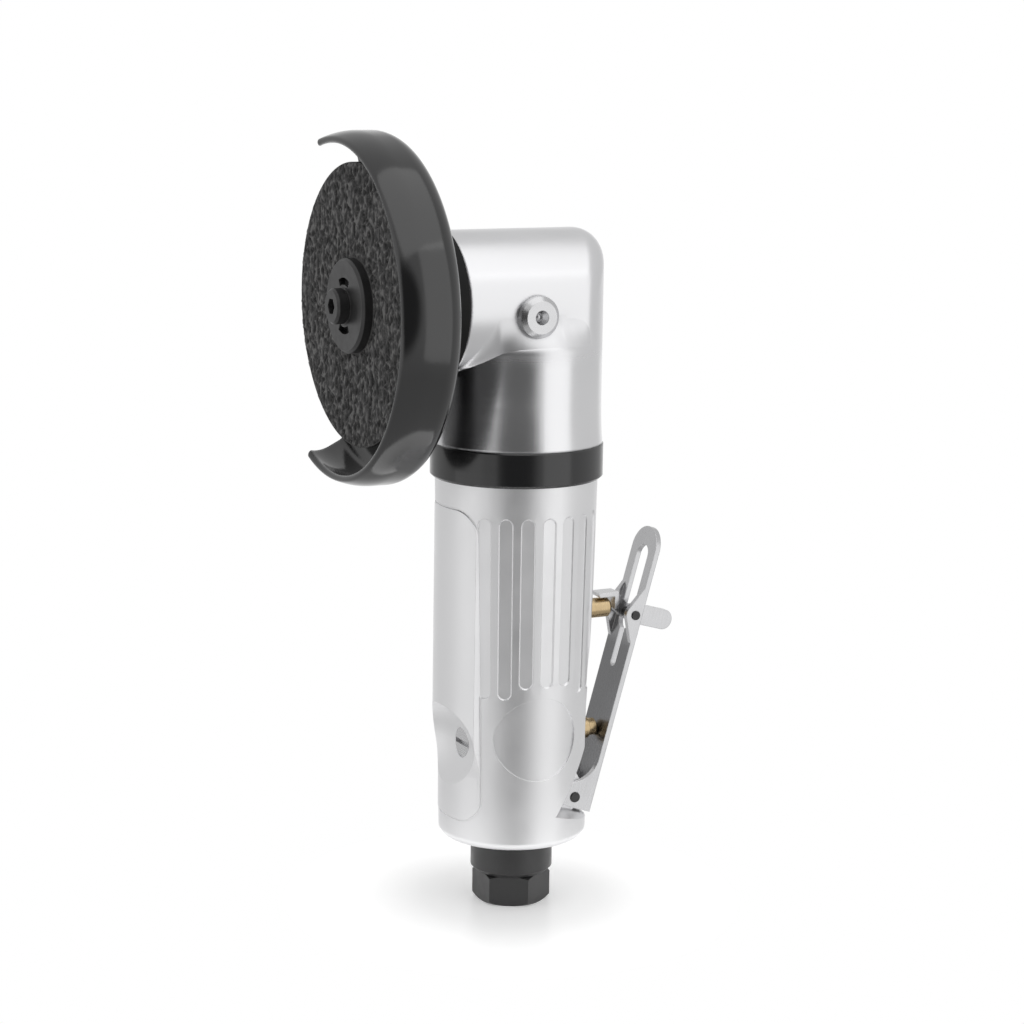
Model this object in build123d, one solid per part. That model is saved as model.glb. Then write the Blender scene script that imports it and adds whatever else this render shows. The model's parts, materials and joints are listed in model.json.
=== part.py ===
from build123d import *
import math
import os

# Air angle grinder with a 75 mm wheel, a wheel guard and a lever throttle. All sizes in millimetres.
# Z runs up the handle axis from the centre of the air inlet's lower face.
# The spindle lies along X with the wheel at -X, and the throttle lever is on the +X side.

# Heights along the handle axis
INLET_HEX_HEIGHT = 8.6
INLET_COLLAR_HEIGHT = 10.9
HANDLE_HEIGHT = 101.8
LOCK_RING_HEIGHT = 9.6
SPINDLE_RISE = 38.7

# Gaps: radial for seats and runs, axial for faces that pass each other, and the overreach of cutters
SEAT_GAP = 0.02
RUNNING_GAP = 0.04
FACE_GAP = 0.2
OVERCUT = 5.0

# Air inlet bushing with a quarter-inch female pipe thread
INLET_FLATS = 19.0
INLET_CORNER_WIDTH = 1.4
INLET_CORNER_HEIGHT = 0.9
INLET_COLLAR_R = 11.5
INLET_COLLAR_CHAMFER = 1.2
INLET_THREAD_R = 5.7
INLET_THREAD_DEPTH = 12.0
INLET_SHANK_R = 6.5
INLET_SHANK_LENGTH = 7.3
AIRWAY_R = 4.0
SCREEN_R = 5.0
SCREEN_THICKNESS = 0.8
SCREEN_HOLE_R = 0.8
SCREEN_RING_R = 3.2
SCREEN_RING_HOLES = 8

# Handle casting
HANDLE_TOP_R = 22.4
HANDLE_BOTTOM_R = 20.6
HANDLE_FOOT_FILLET = 2.2
FLUTES_PER_SIDE = 7
FLUTE_SPACING = 15.7
FLUTE_SHIFT = 2.0
FLUTE_WIDTH = 3.4
FLUTE_DEPTH = 0.45
FLUTE_WALL = 0.35
FLUTE_TOP_DROP = 8.4
FLUTE_BOTTOM = 62.6
FLUTE_MIDDLE_BOTTOM = 65.6
BADGE_R = 11.7
BADGE_DEPTH = 0.4
BADGE_X = -2.3
BADGE_Z = 51.2
PAD_HALF_WIDTH = 12.9
PAD_BOTTOM = 27.0
PAD_TOP_DROP = 7.3
PAD_CORNER_R = 6.5
PAD_LINE_WIDTH = 0.5
PAD_LINE_DEPTH = 0.25
PAD_FOOT_R = 20.9
PAD_BELLY_R = 22.6
PAD_NECK_R = 22.35
PAD_SWELL_START = 38.0
PAD_SWELL_END = 52.0
DISH_R = 13.4
DISH_SWEEP_R = 30.0
DISH_FLOOR_X = -15.4
FLAT_X = 15.0
FLAT_BEND = 57.0
FLAT_UPPER_X = 19.0
FLAT_UPPER_DROP = 21.3
FLAT_RUNOUT_X = 22.8
FLAT_RUNOUT_DROP = 7.3
TONGUE_TOP = 36.0
TONGUE_RAMP_TOP = 40.0
POCKET_CORNER_X = 3.3
POCKET_CORNER_Z = 28.4
POCKET_WALL_ANGLE = 34.0
EXHAUST_HOLE_R = 2.0
EXHAUST_CIRCLE_R = 14.2
EXHAUST_ANGLES = (90, 110, 130)
EXHAUST_RISE = 13.0

# Air motor
MOTOR_TOP_DROP = 9.3
MOTOR_BORE_R = 13.5
END_PLATE_HEIGHT = 9.0
CYLINDER_HEIGHT = 32.0
CYLINDER_R = 12.7
CYLINDER_BORE_R = 9.8
CYLINDER_OFFSET = 1.0
CYLINDER_PORT_R = 1.5
ROTOR_R = 8.75
VANE_COUNT = 4
VANE_THICKNESS = 1.5
VANE_DEPTH = 4.0
HEX_DRIVE_FLATS = 4.5
HEX_DRIVE_LENGTH = 15.3
FEED_X = 11.4
FEED_R = 1.6

# Ball bearings: bore radius, outer radius and width
REAR_ROTOR_BORE_R = 3.0
REAR_ROTOR_OUTER_R = 9.5
REAR_ROTOR_WIDTH = 6.0
FRONT_ROTOR_BORE_R = 4.0
FRONT_ROTOR_OUTER_R = 11.0
FRONT_ROTOR_WIDTH = 7.0
PINION_BORE_R = 4.0
PINION_OUTER_R = 11.0
PINION_WIDTH = 7.0
SPINDLE_FRONT_BORE_R = 5.0
SPINDLE_FRONT_OUTER_R = 13.0
SPINDLE_FRONT_WIDTH = 8.0
SPINDLE_REAR_BORE_R = 3.5
SPINDLE_REAR_OUTER_R = 9.5
SPINDLE_REAR_WIDTH = 6.0
FRONT_BEARING_INSET = 4.0
REAR_BEARING_STEP = 0.5
PINION_SHOULDER = 1.0
SHIELD_RECESS = 0.4

# Lock ring and angle head
LOCK_RING_LIP = 0.3
LOCK_RING_CHAMFER = 0.7
SPIGOT_R = 18.5
SPIGOT_BORE_R = 11.3
SKIRT_FLARE = 0.5
BODY_R = 23.0
FLARE_HEIGHT = 12.0
SHOULDER_HEIGHT = 26.0
SHOULDER_R = 4.0
SHOULDER_TURN = 50.0
SHOULDER_RISE = 9.0
SHOULDER_END_R = 18.0
BARREL_R = 19.25
BARREL_FRONT_X = -24.0
BARREL_EDGE = 0.8
CHEEK_LEAD_X = -8.0
CHEEK_LEAD_Y = 17.0
REAR_ROUNDING = 7.0
NECK_R = 17.5
NECK_FRONT_X = -38.6
CAVITY_R = 12.4
CAVITY_REAR_X = 10.5

# Bevel gear pair, pinion on the motor axis and gear on the spindle
GEAR_MODULE = 1.25
PINION_TEETH = 12
GEAR_TEETH = 18
TOOTH_FACE = 4.5
PRESSURE_ANGLE = 20.0
BACKLASH = 0.24
ADDENDUM = 0.95
DEDENDUM = 1.25
FLANK_STEPS = 4
TOOTH_OVERRUN = 1.0
GEAR_RIM = 1.2
GEAR_HUB_R = 8.0
GEAR_SEAT_LENGTH = 10.7
PINION_BEARING_DROP = 17.1
RETAINING_RING_THICKNESS = 1.1
RETAINING_GROOVE_DEPTH = 0.8
RETAINING_RING_WIDTH = 1.6
RETAINING_RING_GAP_HALF = 3.0
KEY_WIDTH = 3.0
KEY_HEIGHT = 3.0
KEY_LENGTH = 7.0
KEY_INSET = 0.8

# Spindle and wheel
SPINDLE_TIP_X = -55.0
SPINDLE_R = 4.75
SPINDLE_SEAT_R = 5.0
SPINDLE_COLLAR_R = 6.5
SPINDLE_WAIST_R = 4.5
SPINDLE_TIP_CHAMFER = 0.6
SPINDLE_GROOVE_WIDTH = 0.6
SPINDLE_GROOVE_DEPTH = 0.3
SPINDLE_SOCKET_FLATS = 4.0
SPINDLE_SOCKET_DEPTH = 6.0
WHEEL_R = 37.5
WHEEL_THICKNESS = 2.0
WHEEL_FRONT_X = -48.5
NUT_R = 12.55
NUT_THICKNESS = 2.9
NUT_CHAMFER = 0.7
NUT_SLOT_R = 6.5
NUT_SLOT_WIDTH = 1.9
NUT_SLOT_SWEEP = 56.0
NUT_SLOT_DEPTH = 1.8
FLANGE_R = 12.5
FLANGE_THICKNESS = 5.0
FLANGE_HUB_R = 6.9
FLANGE_RELIEF = 0.5
FLANGE_RELIEF_R = 9.0
CAP_GAP = 0.3
CAP_HOLE_R = 1.0
CAP_HOLE_CIRCLE_R = 10.2

# Grease fitting on the -Y side of the head
FITTING_X = -4.1
FITTING_DROP = 2.65
FITTING_R = 5.6
FITTING_SINK = 2.9
FITTING_PROUD = 2.95
FITTING_CHAMFER = 1.2
FITTING_STEM_R = 3.0
FITTING_STEM_LENGTH = 3.0
FITTING_MOUTH_R = 1.95
FITTING_MOUTH_DEPTH = 2.1
FITTING_THROAT_R = 0.8
FITTING_CHAMBER_R = 1.4
FITTING_PASSAGE_R = 0.7
CHECK_BALL_R = 1.15
CHECK_BALL_GAP = 0.05

# Wheel guard and its clamp collar
GUARD_R = 46.7
GUARD_DROP = 1.0
GUARD_WALL = 1.8
GUARD_FRONT_X = -55.0
GUARD_BACK_X = -37.3
GUARD_SHOULDER = 5.8
GUARD_OPEN_X = -52.0
GUARD_OPEN_Y = 15.0
GUARD_OPEN_SLOPE = 0.55
GUARD_CORNER_R = 6.0
GUARD_SWIVEL_GAP = 0.05
COLLAR_R = 20.5
COLLAR_REAR_GAP = 0.3
COLLAR_SPLIT = 2.0
LUG_ROOT = 2.0
LUG_REACH = 28.0
LUG_HALF_HEIGHT = 5.2
LUG_LENGTH = 9.0
CLAMP_SCREW_R = 2.45
CLAMP_SCREW_HEAD_R = 4.2
CLAMP_SCREW_HEAD_HEIGHT = 4.5
CLAMP_SCREW_SOCKET_FLATS = 4.0
CLAMP_SCREW_SOCKET_DEPTH = 2.4

# Throttle valve and air regulator, on one cross bore through the handle
VALVE_Z = 46.8
VALVE_BORE_R = 4.5
VALVE_BORE_END_X = -8.0
BUSH_INNER_X = 6.0
BUSH_NOSE_R = 3.15
BUSH_NOSE_X = 23.0
BUSH_RELIEF_R = 3.4
BUSH_GUIDE_X = 13.0
BUSH_PORT_R = 1.5
STEM_R = 2.45
STEM_WAIST_R = 1.6
STEM_DOME_R = 4.0
STEM_LEVER_GAP = 0.15
VALVE_HEAD_R = 4.2
VALVE_HEAD_LENGTH = 3.5
VALVE_SEAL_R = 3.9
VALVE_SEAL_THICKNESS = 0.9
SPRING_WIRE_R = 0.35
SPRING_COIL_R = 2.4
SPRING_PITCH = 1.6
SPRING_TURNS = 4
SPRING_SEAT_GAP = 0.1
REGULATOR_BORE_R = 4.2
REGULATOR_FACE_X = -15.8
REGULATOR_INNER_X = -9.0
REGULATOR_SLOT_WIDTH = 1.3
REGULATOR_SLOT_DEPTH = 1.2
REGULATOR_SKIRT_R = 4.1
REGULATOR_SKIRT_BORE_R = 3.4
REGULATOR_SKIRT_LENGTH = 3.6
REGULATOR_SEAL_X = -13.2
REGULATOR_SEAL_WIDTH = 1.5
REGULATOR_SEAL_R = 3.4

# Throttle lever, drawn upright about its pivot and then tilted outward
LEVER_PIVOT_X = 16.7
LEVER_PIVOT_Z = 28.6
LEVER_TILT = 15.93
LEVER_WIDTH = 13.0
LEVER_SHEET = 1.5
LEVER_OUTER = 5.9
LEVER_LENGTH = 79.2
LEVER_FOOT = 3.4
LEVER_SIDE_PLAY = 0.15
EAR_REACH = 4.8
EAR_TOE = 2.8
EAR_CORNER_R = 2.2
EAR_WAIST = 2.2
EAR_WAIST_HEIGHT = 4.0
EAR_MERGE_HEIGHT = 12.0
TONGUE_NOSE_R = 4.0
LEVER_PIN_R = 1.4
PIN_OVERHANG = 0.4
TIP_SLOT_HALF_WIDTH = 3.1
TIP_SLOT_LEAD = 5.1
TIP_SLOT_MARGIN = 5.2
TAB_SLOT_HALF_WIDTH = 1.3
TAB_SLOT_LEAD = 16.1

# Safety lever, hinged in the throttle lever and blocked by the stop pin
SAFETY_ALONG = 54.1
SAFETY_IN = 3.73
SAFETY_PIN_R = 1.25
SAFETY_EAR_HALF = 8.0
SAFETY_EAR_R = 3.0
SAFETY_EAR_SLOPE = 35.0
SAFETY_PLATE = 1.6
SAFETY_HUB_R = 1.95
TAB_LENGTH = 15.6
TAB_HALF_WIDTH = 2.9
LEG_GAP = 0.9
LEG_RISE = 1.45
LEG_SHEET = 1.3
LEG_HALF_WIDTH = 2.5
FINGER_LIFT = 0.45
FINGER_REACH = 9.635
FINGER_CHAMFER = 0.5
SAFETY_SPRING_WIRE_R = 0.2
SAFETY_SPRING_COIL_R = 1.6
SAFETY_SPRING_PITCH = 0.8
SAFETY_SPRING_TURNS = 2
SAFETY_SPRING_Y = 1.1
STOP_PIN_R = 2.8
STOP_PIN_RISE = 1.8
STOP_PIN_STANDOFF = 5.435
STOP_PIN_CHAMFER = 0.7
STOP_PIN_SEAT = 2.6

# Levels and stations that follow from the sizes above
handle_bottom = INLET_HEX_HEIGHT + INLET_COLLAR_HEIGHT
handle_top = handle_bottom + HANDLE_HEIGHT
head_bottom = handle_top + LOCK_RING_HEIGHT
spindle_z = head_bottom + SPINDLE_RISE
pad_top = handle_top - PAD_TOP_DROP
flat_upper = handle_top - FLAT_UPPER_DROP
flat_runout = handle_top - FLAT_RUNOUT_DROP
motor_top = handle_top - MOTOR_TOP_DROP
cylinder_top = motor_top - END_PLATE_HEIGHT
cylinder_bottom = cylinder_top - CYLINDER_HEIGHT
motor_floor = cylinder_bottom - END_PLATE_HEIGHT
rear_rotor_bearing_size = (REAR_ROTOR_BORE_R, REAR_ROTOR_OUTER_R, REAR_ROTOR_WIDTH)
front_rotor_bearing_size = (FRONT_ROTOR_BORE_R, FRONT_ROTOR_OUTER_R, FRONT_ROTOR_WIDTH)
pinion_bearing_size = (PINION_BORE_R, PINION_OUTER_R, PINION_WIDTH)
spindle_front_bearing_size = (SPINDLE_FRONT_BORE_R, SPINDLE_FRONT_OUTER_R, SPINDLE_FRONT_WIDTH)
spindle_rear_bearing_size = (SPINDLE_REAR_BORE_R, SPINDLE_REAR_OUTER_R, SPINDLE_REAR_WIDTH)
skirt_r = BODY_R + SKIRT_FLARE
lock_ring_r = skirt_r + LOCK_RING_LIP
fitting_seat_y = BARREL_R - FITTING_SINK
fitting_face_y = BARREL_R + FITTING_PROUD
fitting_stem_end_y = fitting_seat_y - FITTING_STEM_LENGTH
hex_drive_end = motor_top + HEX_DRIVE_LENGTH
pinion_bearing_top = spindle_z - PINION_BEARING_DROP
pinion_bearing_bottom = pinion_bearing_top - PINION_WIDTH
front_bearing_x = BARREL_FRONT_X - FRONT_BEARING_INSET
cap_rear_x = front_bearing_x - SPINDLE_FRONT_WIDTH
rear_bearing_x = CAVITY_REAR_X + REAR_BEARING_STEP
wheel_rear_x = WHEEL_FRONT_X + WHEEL_THICKNESS
flange_rear_x = wheel_rear_x + FLANGE_THICKNESS
nut_front_x = WHEEL_FRONT_X - NUT_THICKNESS
gear_back_x = front_bearing_x + GEAR_SEAT_LENGTH
collar_rear_x = BARREL_FRONT_X - COLLAR_REAR_GAP
lever_inner = LEVER_OUTER - LEVER_SHEET
ear_inner_y = LEVER_WIDTH / 2 - LEVER_SHEET
tongue_half = ear_inner_y - LEVER_SIDE_PLAY
tilt = math.radians(LEVER_TILT)
lever_place = Pos(LEVER_PIVOT_X, 0, LEVER_PIVOT_Z) * Rot(0, LEVER_TILT, 0)
safety_x = LEVER_PIVOT_X + SAFETY_IN * math.cos(tilt) + SAFETY_ALONG * math.sin(tilt)
safety_z = LEVER_PIVOT_Z - SAFETY_IN * math.sin(tilt) + SAFETY_ALONG * math.cos(tilt)
stop_pin_z = safety_z + STOP_PIN_RISE
stop_pin_tip_x = safety_x - STOP_PIN_STANDOFF
finger_tip_x = safety_x - FINGER_REACH
valve_lift = VALVE_Z - LEVER_PIVOT_Z
lever_face_x = LEVER_PIVOT_X + (lever_inner + valve_lift * math.sin(tilt)) / math.cos(tilt)
valve_head_x = BUSH_INNER_X - FACE_GAP / 2 - VALVE_SEAL_THICKNESS


def spun(profile):
    """Solid turned about the handle axis from (radius, z) points."""
    outline = Polyline(*[(r, 0, z) for r, z in profile], close=True)
    return revolve(make_face(outline), Axis.Z)


def turned(profile, z):
    """Solid turned about an axis along X at height z, from (x, radius) points."""
    outline = Polyline(*[(x, 0, r) for x, r in profile], close=True)
    return Pos(0, 0, z) * revolve(make_face(outline), Axis.X)


def tube(inner, outer, low, high):
    """Ring about the handle axis."""
    return spun([(inner, low), (outer, low), (outer, high), (inner, high)])


def rod_z(radius, low, high, x=0, y=0):
    """Cylinder along Z."""
    return Pos(x, y, (low + high) / 2) * Cylinder(radius, high - low)


def rod_x(radius, start, end, z, y=0):
    """Cylinder along X."""
    return Pos((start + end) / 2, y, z) * Rot(0, 90, 0) * Cylinder(radius, end - start)


def rod_y(radius, start, end, x=0, z=0):
    """Cylinder along Y."""
    return Pos(x, (start + end) / 2, z) * Rot(90, 0, 0) * Cylinder(radius, end - start)


def plate_y(points, start, end):
    """Prism between two Y values from (x, z) corners."""
    outline = Polyline(*[(x, 0, z) for x, z in points], close=True)
    return Pos(0, start, 0) * extrude(make_face(outline), amount=end - start, dir=(0, 1, 0))


def hex_prism(flats, low, high):
    """Hexagon about Z with two corners on the Y axis."""
    outline = Rot(0, 0, 90) * RegularPolygon(flats / math.sqrt(3), 6)
    return Pos(0, 0, low) * extrude(outline, amount=high - low)


def bearing_ring(size, low):
    """Shielded ball bearing about Z, standing on height low."""
    bore, outer, width = size
    third = (outer - bore) / 3
    high = low + width
    inner_edge = bore + third
    outer_edge = outer - third
    return spun([
        (bore, low), (inner_edge, low), (inner_edge, low + SHIELD_RECESS),
        (outer_edge, low + SHIELD_RECESS), (outer_edge, low), (outer, low),
        (outer, high), (outer_edge, high), (outer_edge, high - SHIELD_RECESS),
        (inner_edge, high - SHIELD_RECESS), (inner_edge, high), (bore, high),
    ])


def bearing_on_spindle(size, start):
    """Shielded ball bearing about the spindle axis, from X = start."""
    return Pos(start, 0, spindle_z) * Rot(0, 90, 0) * bearing_ring(size, 0)


def handle_radius(z):
    """Radius of the tapered handle at height z."""
    share = (z - handle_bottom) / HANDLE_HEIGHT
    return HANDLE_BOTTOM_R + share * (HANDLE_TOP_R - HANDLE_BOTTOM_R)


def pocket_floor(x):
    """Height of the lever pocket's floor, square to the lever."""
    return POCKET_CORNER_Z - math.tan(tilt) * (x - POCKET_CORNER_X)


def air_inlet():
    """Hexagon bushing that screws into the foot of the handle."""
    corner_r = INLET_FLATS / math.sqrt(3)
    hexagon = hex_prism(INLET_FLATS, 0, INLET_HEX_HEIGHT)
    rounding = spun([
        (0, 0), (corner_r - INLET_CORNER_WIDTH, 0), (corner_r, INLET_CORNER_HEIGHT),
        (corner_r, INLET_HEX_HEIGHT - INLET_CORNER_HEIGHT),
        (corner_r - INLET_CORNER_WIDTH, INLET_HEX_HEIGHT), (0, INLET_HEX_HEIGHT),
    ])
    collar = spun([
        (0, INLET_HEX_HEIGHT), (INLET_COLLAR_R - INLET_COLLAR_CHAMFER, INLET_HEX_HEIGHT),
        (INLET_COLLAR_R, INLET_HEX_HEIGHT + INLET_COLLAR_CHAMFER),
        (INLET_COLLAR_R, handle_bottom), (0, handle_bottom),
    ])
    shank_top = handle_bottom + INLET_SHANK_LENGTH
    shank = rod_z(INLET_SHANK_R, handle_bottom, shank_top)
    screen_top = INLET_THREAD_DEPTH + SCREEN_THICKNESS
    bore = spun([
        (0, 0), (INLET_THREAD_R, 0), (INLET_THREAD_R, INLET_THREAD_DEPTH), (SCREEN_R, INLET_THREAD_DEPTH),
        (SCREEN_R, screen_top), (AIRWAY_R, screen_top), (AIRWAY_R, shank_top), (0, shank_top),
    ])
    return (hexagon & rounding) + collar + shank - bore


def inlet_screen():
    """Perforated disc in a step above the inlet thread."""
    low = INLET_THREAD_DEPTH
    high = low + SCREEN_THICKNESS
    disc = rod_z(SCREEN_R - SEAT_GAP, low, high)
    hole = rod_z(SCREEN_HOLE_R, low, high)
    ring = [Rot(0, 0, 360 * i / SCREEN_RING_HOLES) * Pos(SCREEN_RING_R, 0, 0) * hole
            for i in range(SCREEN_RING_HOLES)]
    return disc - hole - ring


def flute(low, high):
    """Flat, round-ended groove cutter on the +X side that follows the handle's taper."""
    middle = (low + high) / 2
    rise = (HANDLE_TOP_R - HANDLE_BOTTOM_R) / HANDLE_HEIGHT
    floor = Plane((handle_radius(middle) - FLUTE_DEPTH, 0, middle), x_dir=(rise, 0, 1), z_dir=(1, 0, -rise))
    sections = []
    for share in (0, 2):
        spread = 2 * FLUTE_WALL * (share - 1)
        level = floor.offset(share * FLUTE_DEPTH)
        sections.append(level * SlotOverall(high - low + spread, FLUTE_WIDTH + spread + 2 * FLUTE_WALL))
    return loft(sections, ruled=True)


def flutes():
    """Grip flutes on both sides of the handle."""
    cutters = []
    middle = (FLUTES_PER_SIDE - 1) / 2
    for i in range(FLUTES_PER_SIDE):
        low = FLUTE_MIDDLE_BOTTOM if abs(i - middle) <= 1 else FLUTE_BOTTOM
        angle = 90 + FLUTE_SHIFT + (i - middle) * FLUTE_SPACING
        for side in (-1, 1):
            cutters.append(Rot(0, 0, side * angle) * flute(low, handle_top - FLUTE_TOP_DROP))
    return cutters


def badge_recess():
    """Round, shallow recess on both sides that keeps the handle's curve."""
    disc = rod_y(BADGE_R, -2 * HANDLE_TOP_R, 2 * HANDLE_TOP_R, BADGE_X, BADGE_Z)
    low = BADGE_Z - BADGE_R - OVERCUT
    high = BADGE_Z + BADGE_R + OVERCUT
    core = spun([(0, low), (handle_radius(low) - BADGE_DEPTH, low), (handle_radius(high) - BADGE_DEPTH, high),
                 (0, high)])
    return disc - core


def front_pad():
    """Raised pad on the -X side of the handle with a swelling belly."""
    swell = (PAD_SWELL_START + PAD_SWELL_END) / 2
    low = PAD_BOTTOM - OVERCUT
    high = pad_top + OVERCUT
    waist = ((PAD_FOOT_R + PAD_BELLY_R) / 2, 0, swell)
    edge = [
        Line((PAD_FOOT_R, 0, low), (PAD_FOOT_R, 0, PAD_SWELL_START)),
        TangentArc((PAD_FOOT_R, 0, PAD_SWELL_START), waist, tangent=(0, 0, 1)),
        TangentArc((PAD_BELLY_R, 0, PAD_SWELL_END), waist, tangent=(0, 0, -1)),
        Line((PAD_BELLY_R, 0, PAD_SWELL_END), (PAD_NECK_R, 0, high)),
    ]
    back = Polyline((PAD_NECK_R, 0, high), (0, 0, high), (0, 0, low), (PAD_FOOT_R, 0, low))
    belly = revolve(make_face([*edge, *back.edges()]), Axis.Z)
    return belly & pad_window(0)


def pad_window(spread):
    """Prism through the front of the handle in the pad's outline, grown by a spread."""
    height = pad_top - PAD_BOTTOM
    outline = RectangleRounded(2 * (PAD_HALF_WIDTH + spread), height + 2 * spread, PAD_CORNER_R + spread)
    window = Plane((0, 0, PAD_BOTTOM + height / 2), x_dir=(0, -1, 0), z_dir=(-1, 0, 0)) * outline
    return extrude(window, amount=2 * HANDLE_TOP_R)


def pad_line():
    """Fine groove in the handle round the front pad."""
    low = handle_bottom + OVERCUT
    high = handle_top - PAD_LINE_WIDTH
    core = spun([(0, low), (handle_radius(low) - PAD_LINE_DEPTH, low),
                 (handle_radius(high) - PAD_LINE_DEPTH, high), (0, high)])
    return pad_window(PAD_LINE_WIDTH) - pad_window(-PAD_LINE_WIDTH) - core


def lever_cuts():
    """Flat behind the lever and the pocket that takes the lever's ears."""
    far = 2 * HANDLE_TOP_R
    flat = plate_y([
        (FLAT_X, TONGUE_TOP), (FLAT_X, FLAT_BEND), (FLAT_UPPER_X, flat_upper),
        (FLAT_RUNOUT_X, flat_runout), (far, flat_runout), (far, TONGUE_TOP),
    ], -far, far)
    wall_top = POCKET_CORNER_Z + (FLAT_X - POCKET_CORNER_X) / math.tan(math.radians(POCKET_WALL_ANGLE))
    pocket = plate_y([
        (POCKET_CORNER_X, POCKET_CORNER_Z), (far, pocket_floor(far)), (far, wall_top), (FLAT_X, wall_top),
    ], -far, far)
    nose_x = LEVER_PIVOT_X + TONGUE_NOSE_R * math.cos(tilt)
    tongue = plate_y([
        (POCKET_CORNER_X, POCKET_CORNER_Z), (LEVER_PIVOT_X, pocket_floor(LEVER_PIVOT_X)),
        (nose_x, LEVER_PIVOT_Z - TONGUE_NOSE_R * math.sin(tilt)),
        (nose_x, LEVER_PIVOT_Z + TONGUE_NOSE_R / 2), (FLAT_X, TONGUE_RAMP_TOP), (FLAT_X, wall_top),
    ], -tongue_half, tongue_half)
    return flat + (pocket - tongue)


def motor_housing():
    """Handle casting with the motor bore, valve bore, flutes and lever mounting."""
    body = spun([(0, handle_bottom), (HANDLE_BOTTOM_R, handle_bottom), (HANDLE_TOP_R, handle_top),
                 (0, handle_top)])
    foot = body.edges().filter_by(GeomType.CIRCLE).sort_by(Axis.Z)[0]
    body = fillet(foot, HANDLE_FOOT_FILLET)
    body = body - badge_recess() - flutes() - pad_line()
    body = body + front_pad()
    dish = Pos(DISH_FLOOR_X - DISH_SWEEP_R, 0, VALVE_Z) * Torus(DISH_SWEEP_R - DISH_R, DISH_R)
    body = body - dish - lever_cuts()
    shank_top = handle_bottom + INLET_SHANK_LENGTH
    cuts = [
        rod_z(MOTOR_BORE_R, motor_floor, motor_top),
        rod_z(SPIGOT_R + SEAT_GAP, motor_top, handle_top),
        rod_z(INLET_SHANK_R + SEAT_GAP, handle_bottom, shank_top + FACE_GAP),
        rod_z(AIRWAY_R, shank_top, VALVE_Z),
        rod_x(VALVE_BORE_R, VALVE_BORE_END_X, 2 * FLAT_X, VALVE_Z),
        rod_x(REGULATOR_BORE_R, 2 * DISH_FLOOR_X, VALVE_BORE_END_X, VALVE_Z),
        rod_z(FEED_R, VALVE_Z, motor_floor, FEED_X),
        rod_x(STOP_PIN_R + SEAT_GAP, stop_pin_root(), 2 * FLAT_X, stop_pin_z),
        rod_y(LEVER_PIN_R + SEAT_GAP, -LEVER_WIDTH, LEVER_WIDTH, LEVER_PIVOT_X, LEVER_PIVOT_Z),
    ]
    for angle in EXHAUST_ANGLES:
        for side in (-1, 1):
            hole = rod_z(EXHAUST_HOLE_R, handle_bottom, motor_floor + EXHAUST_RISE, EXHAUST_CIRCLE_R)
            cuts.append(Rot(0, 0, side * angle) * hole)
    return body - cuts


def flat_x(z):
    """X of the lever-side flat at height z, above its bend."""
    return FLAT_X + (FLAT_UPPER_X - FLAT_X) * (z - FLAT_BEND) / (flat_upper - FLAT_BEND)


def stop_pin_root():
    """Inner end of the stop pin in the handle wall."""
    return flat_x(stop_pin_z) - STOP_PIN_SEAT


def stop_pin():
    """Brass pin that blocks the safety lever."""
    root = stop_pin_root()
    return turned([
        (root, 0), (root, STOP_PIN_R), (stop_pin_tip_x - STOP_PIN_CHAMFER, STOP_PIN_R),
        (stop_pin_tip_x, STOP_PIN_R - STOP_PIN_CHAMFER), (stop_pin_tip_x, 0),
    ], stop_pin_z)


def rear_end_plate():
    """Lower motor end plate with the rear bearing pocket and the air feed."""
    bore, outer, width = rear_rotor_bearing_size
    plate = rod_z(MOTOR_BORE_R - SEAT_GAP, motor_floor, cylinder_bottom)
    pocket = rod_z(outer + SEAT_GAP, motor_floor, motor_floor + width)
    shaft = rod_z(bore + FACE_GAP, motor_floor, cylinder_bottom)
    feed = rod_z(FEED_R, motor_floor, cylinder_bottom, FEED_X)
    return plate - pocket - shaft - feed


def front_end_plate():
    """Upper motor end plate with the front bearing pocket."""
    bore, outer, width = front_rotor_bearing_size
    plate = rod_z(MOTOR_BORE_R - SEAT_GAP, cylinder_top, motor_top)
    pocket = rod_z(outer + SEAT_GAP, motor_top - width, motor_top)
    shaft = rod_z(bore + FACE_GAP, cylinder_top, motor_top)
    return plate - pocket - shaft


def motor_cylinder():
    """Liner with an eccentric bore and exhaust ports."""
    liner = rod_z(CYLINDER_R, cylinder_bottom, cylinder_top)
    bore = rod_z(CYLINDER_BORE_R, cylinder_bottom, cylinder_top, -CYLINDER_OFFSET)
    step = CYLINDER_HEIGHT / 4
    ports = [rod_y(CYLINDER_PORT_R, -CYLINDER_R, CYLINDER_R, -CYLINDER_OFFSET, cylinder_bottom + i * step)
             for i in (1, 2, 3)]
    return liner - bore - ports


def vane_box(depth, thickness, low, high):
    """One radial vane space on the +X side."""
    middle = ROTOR_R - depth / 2
    return Pos(middle, 0, (low + high) / 2) * Box(depth, thickness, high - low)


def rotor():
    """Slotted rotor with both shafts and the hexagon drive."""
    low = cylinder_bottom + FACE_GAP
    high = cylinder_top - FACE_GAP
    core = rod_z(ROTOR_R, low, high)
    slot = Pos(FACE_GAP / 2, 0, 0) * vane_box(VANE_DEPTH + FACE_GAP, VANE_THICKNESS + 2 * SEAT_GAP, low, high)
    slots = [Rot(0, 0, 360 * (i + 0.5) / VANE_COUNT) * slot for i in range(VANE_COUNT)]
    rear = rod_z(REAR_ROTOR_BORE_R - RUNNING_GAP, motor_floor + FACE_GAP, low)
    front = rod_z(FRONT_ROTOR_BORE_R - RUNNING_GAP, high, motor_top)
    drive = hex_prism(HEX_DRIVE_FLATS, motor_top, hex_drive_end)
    return core - slots + rear + front + drive


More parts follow.
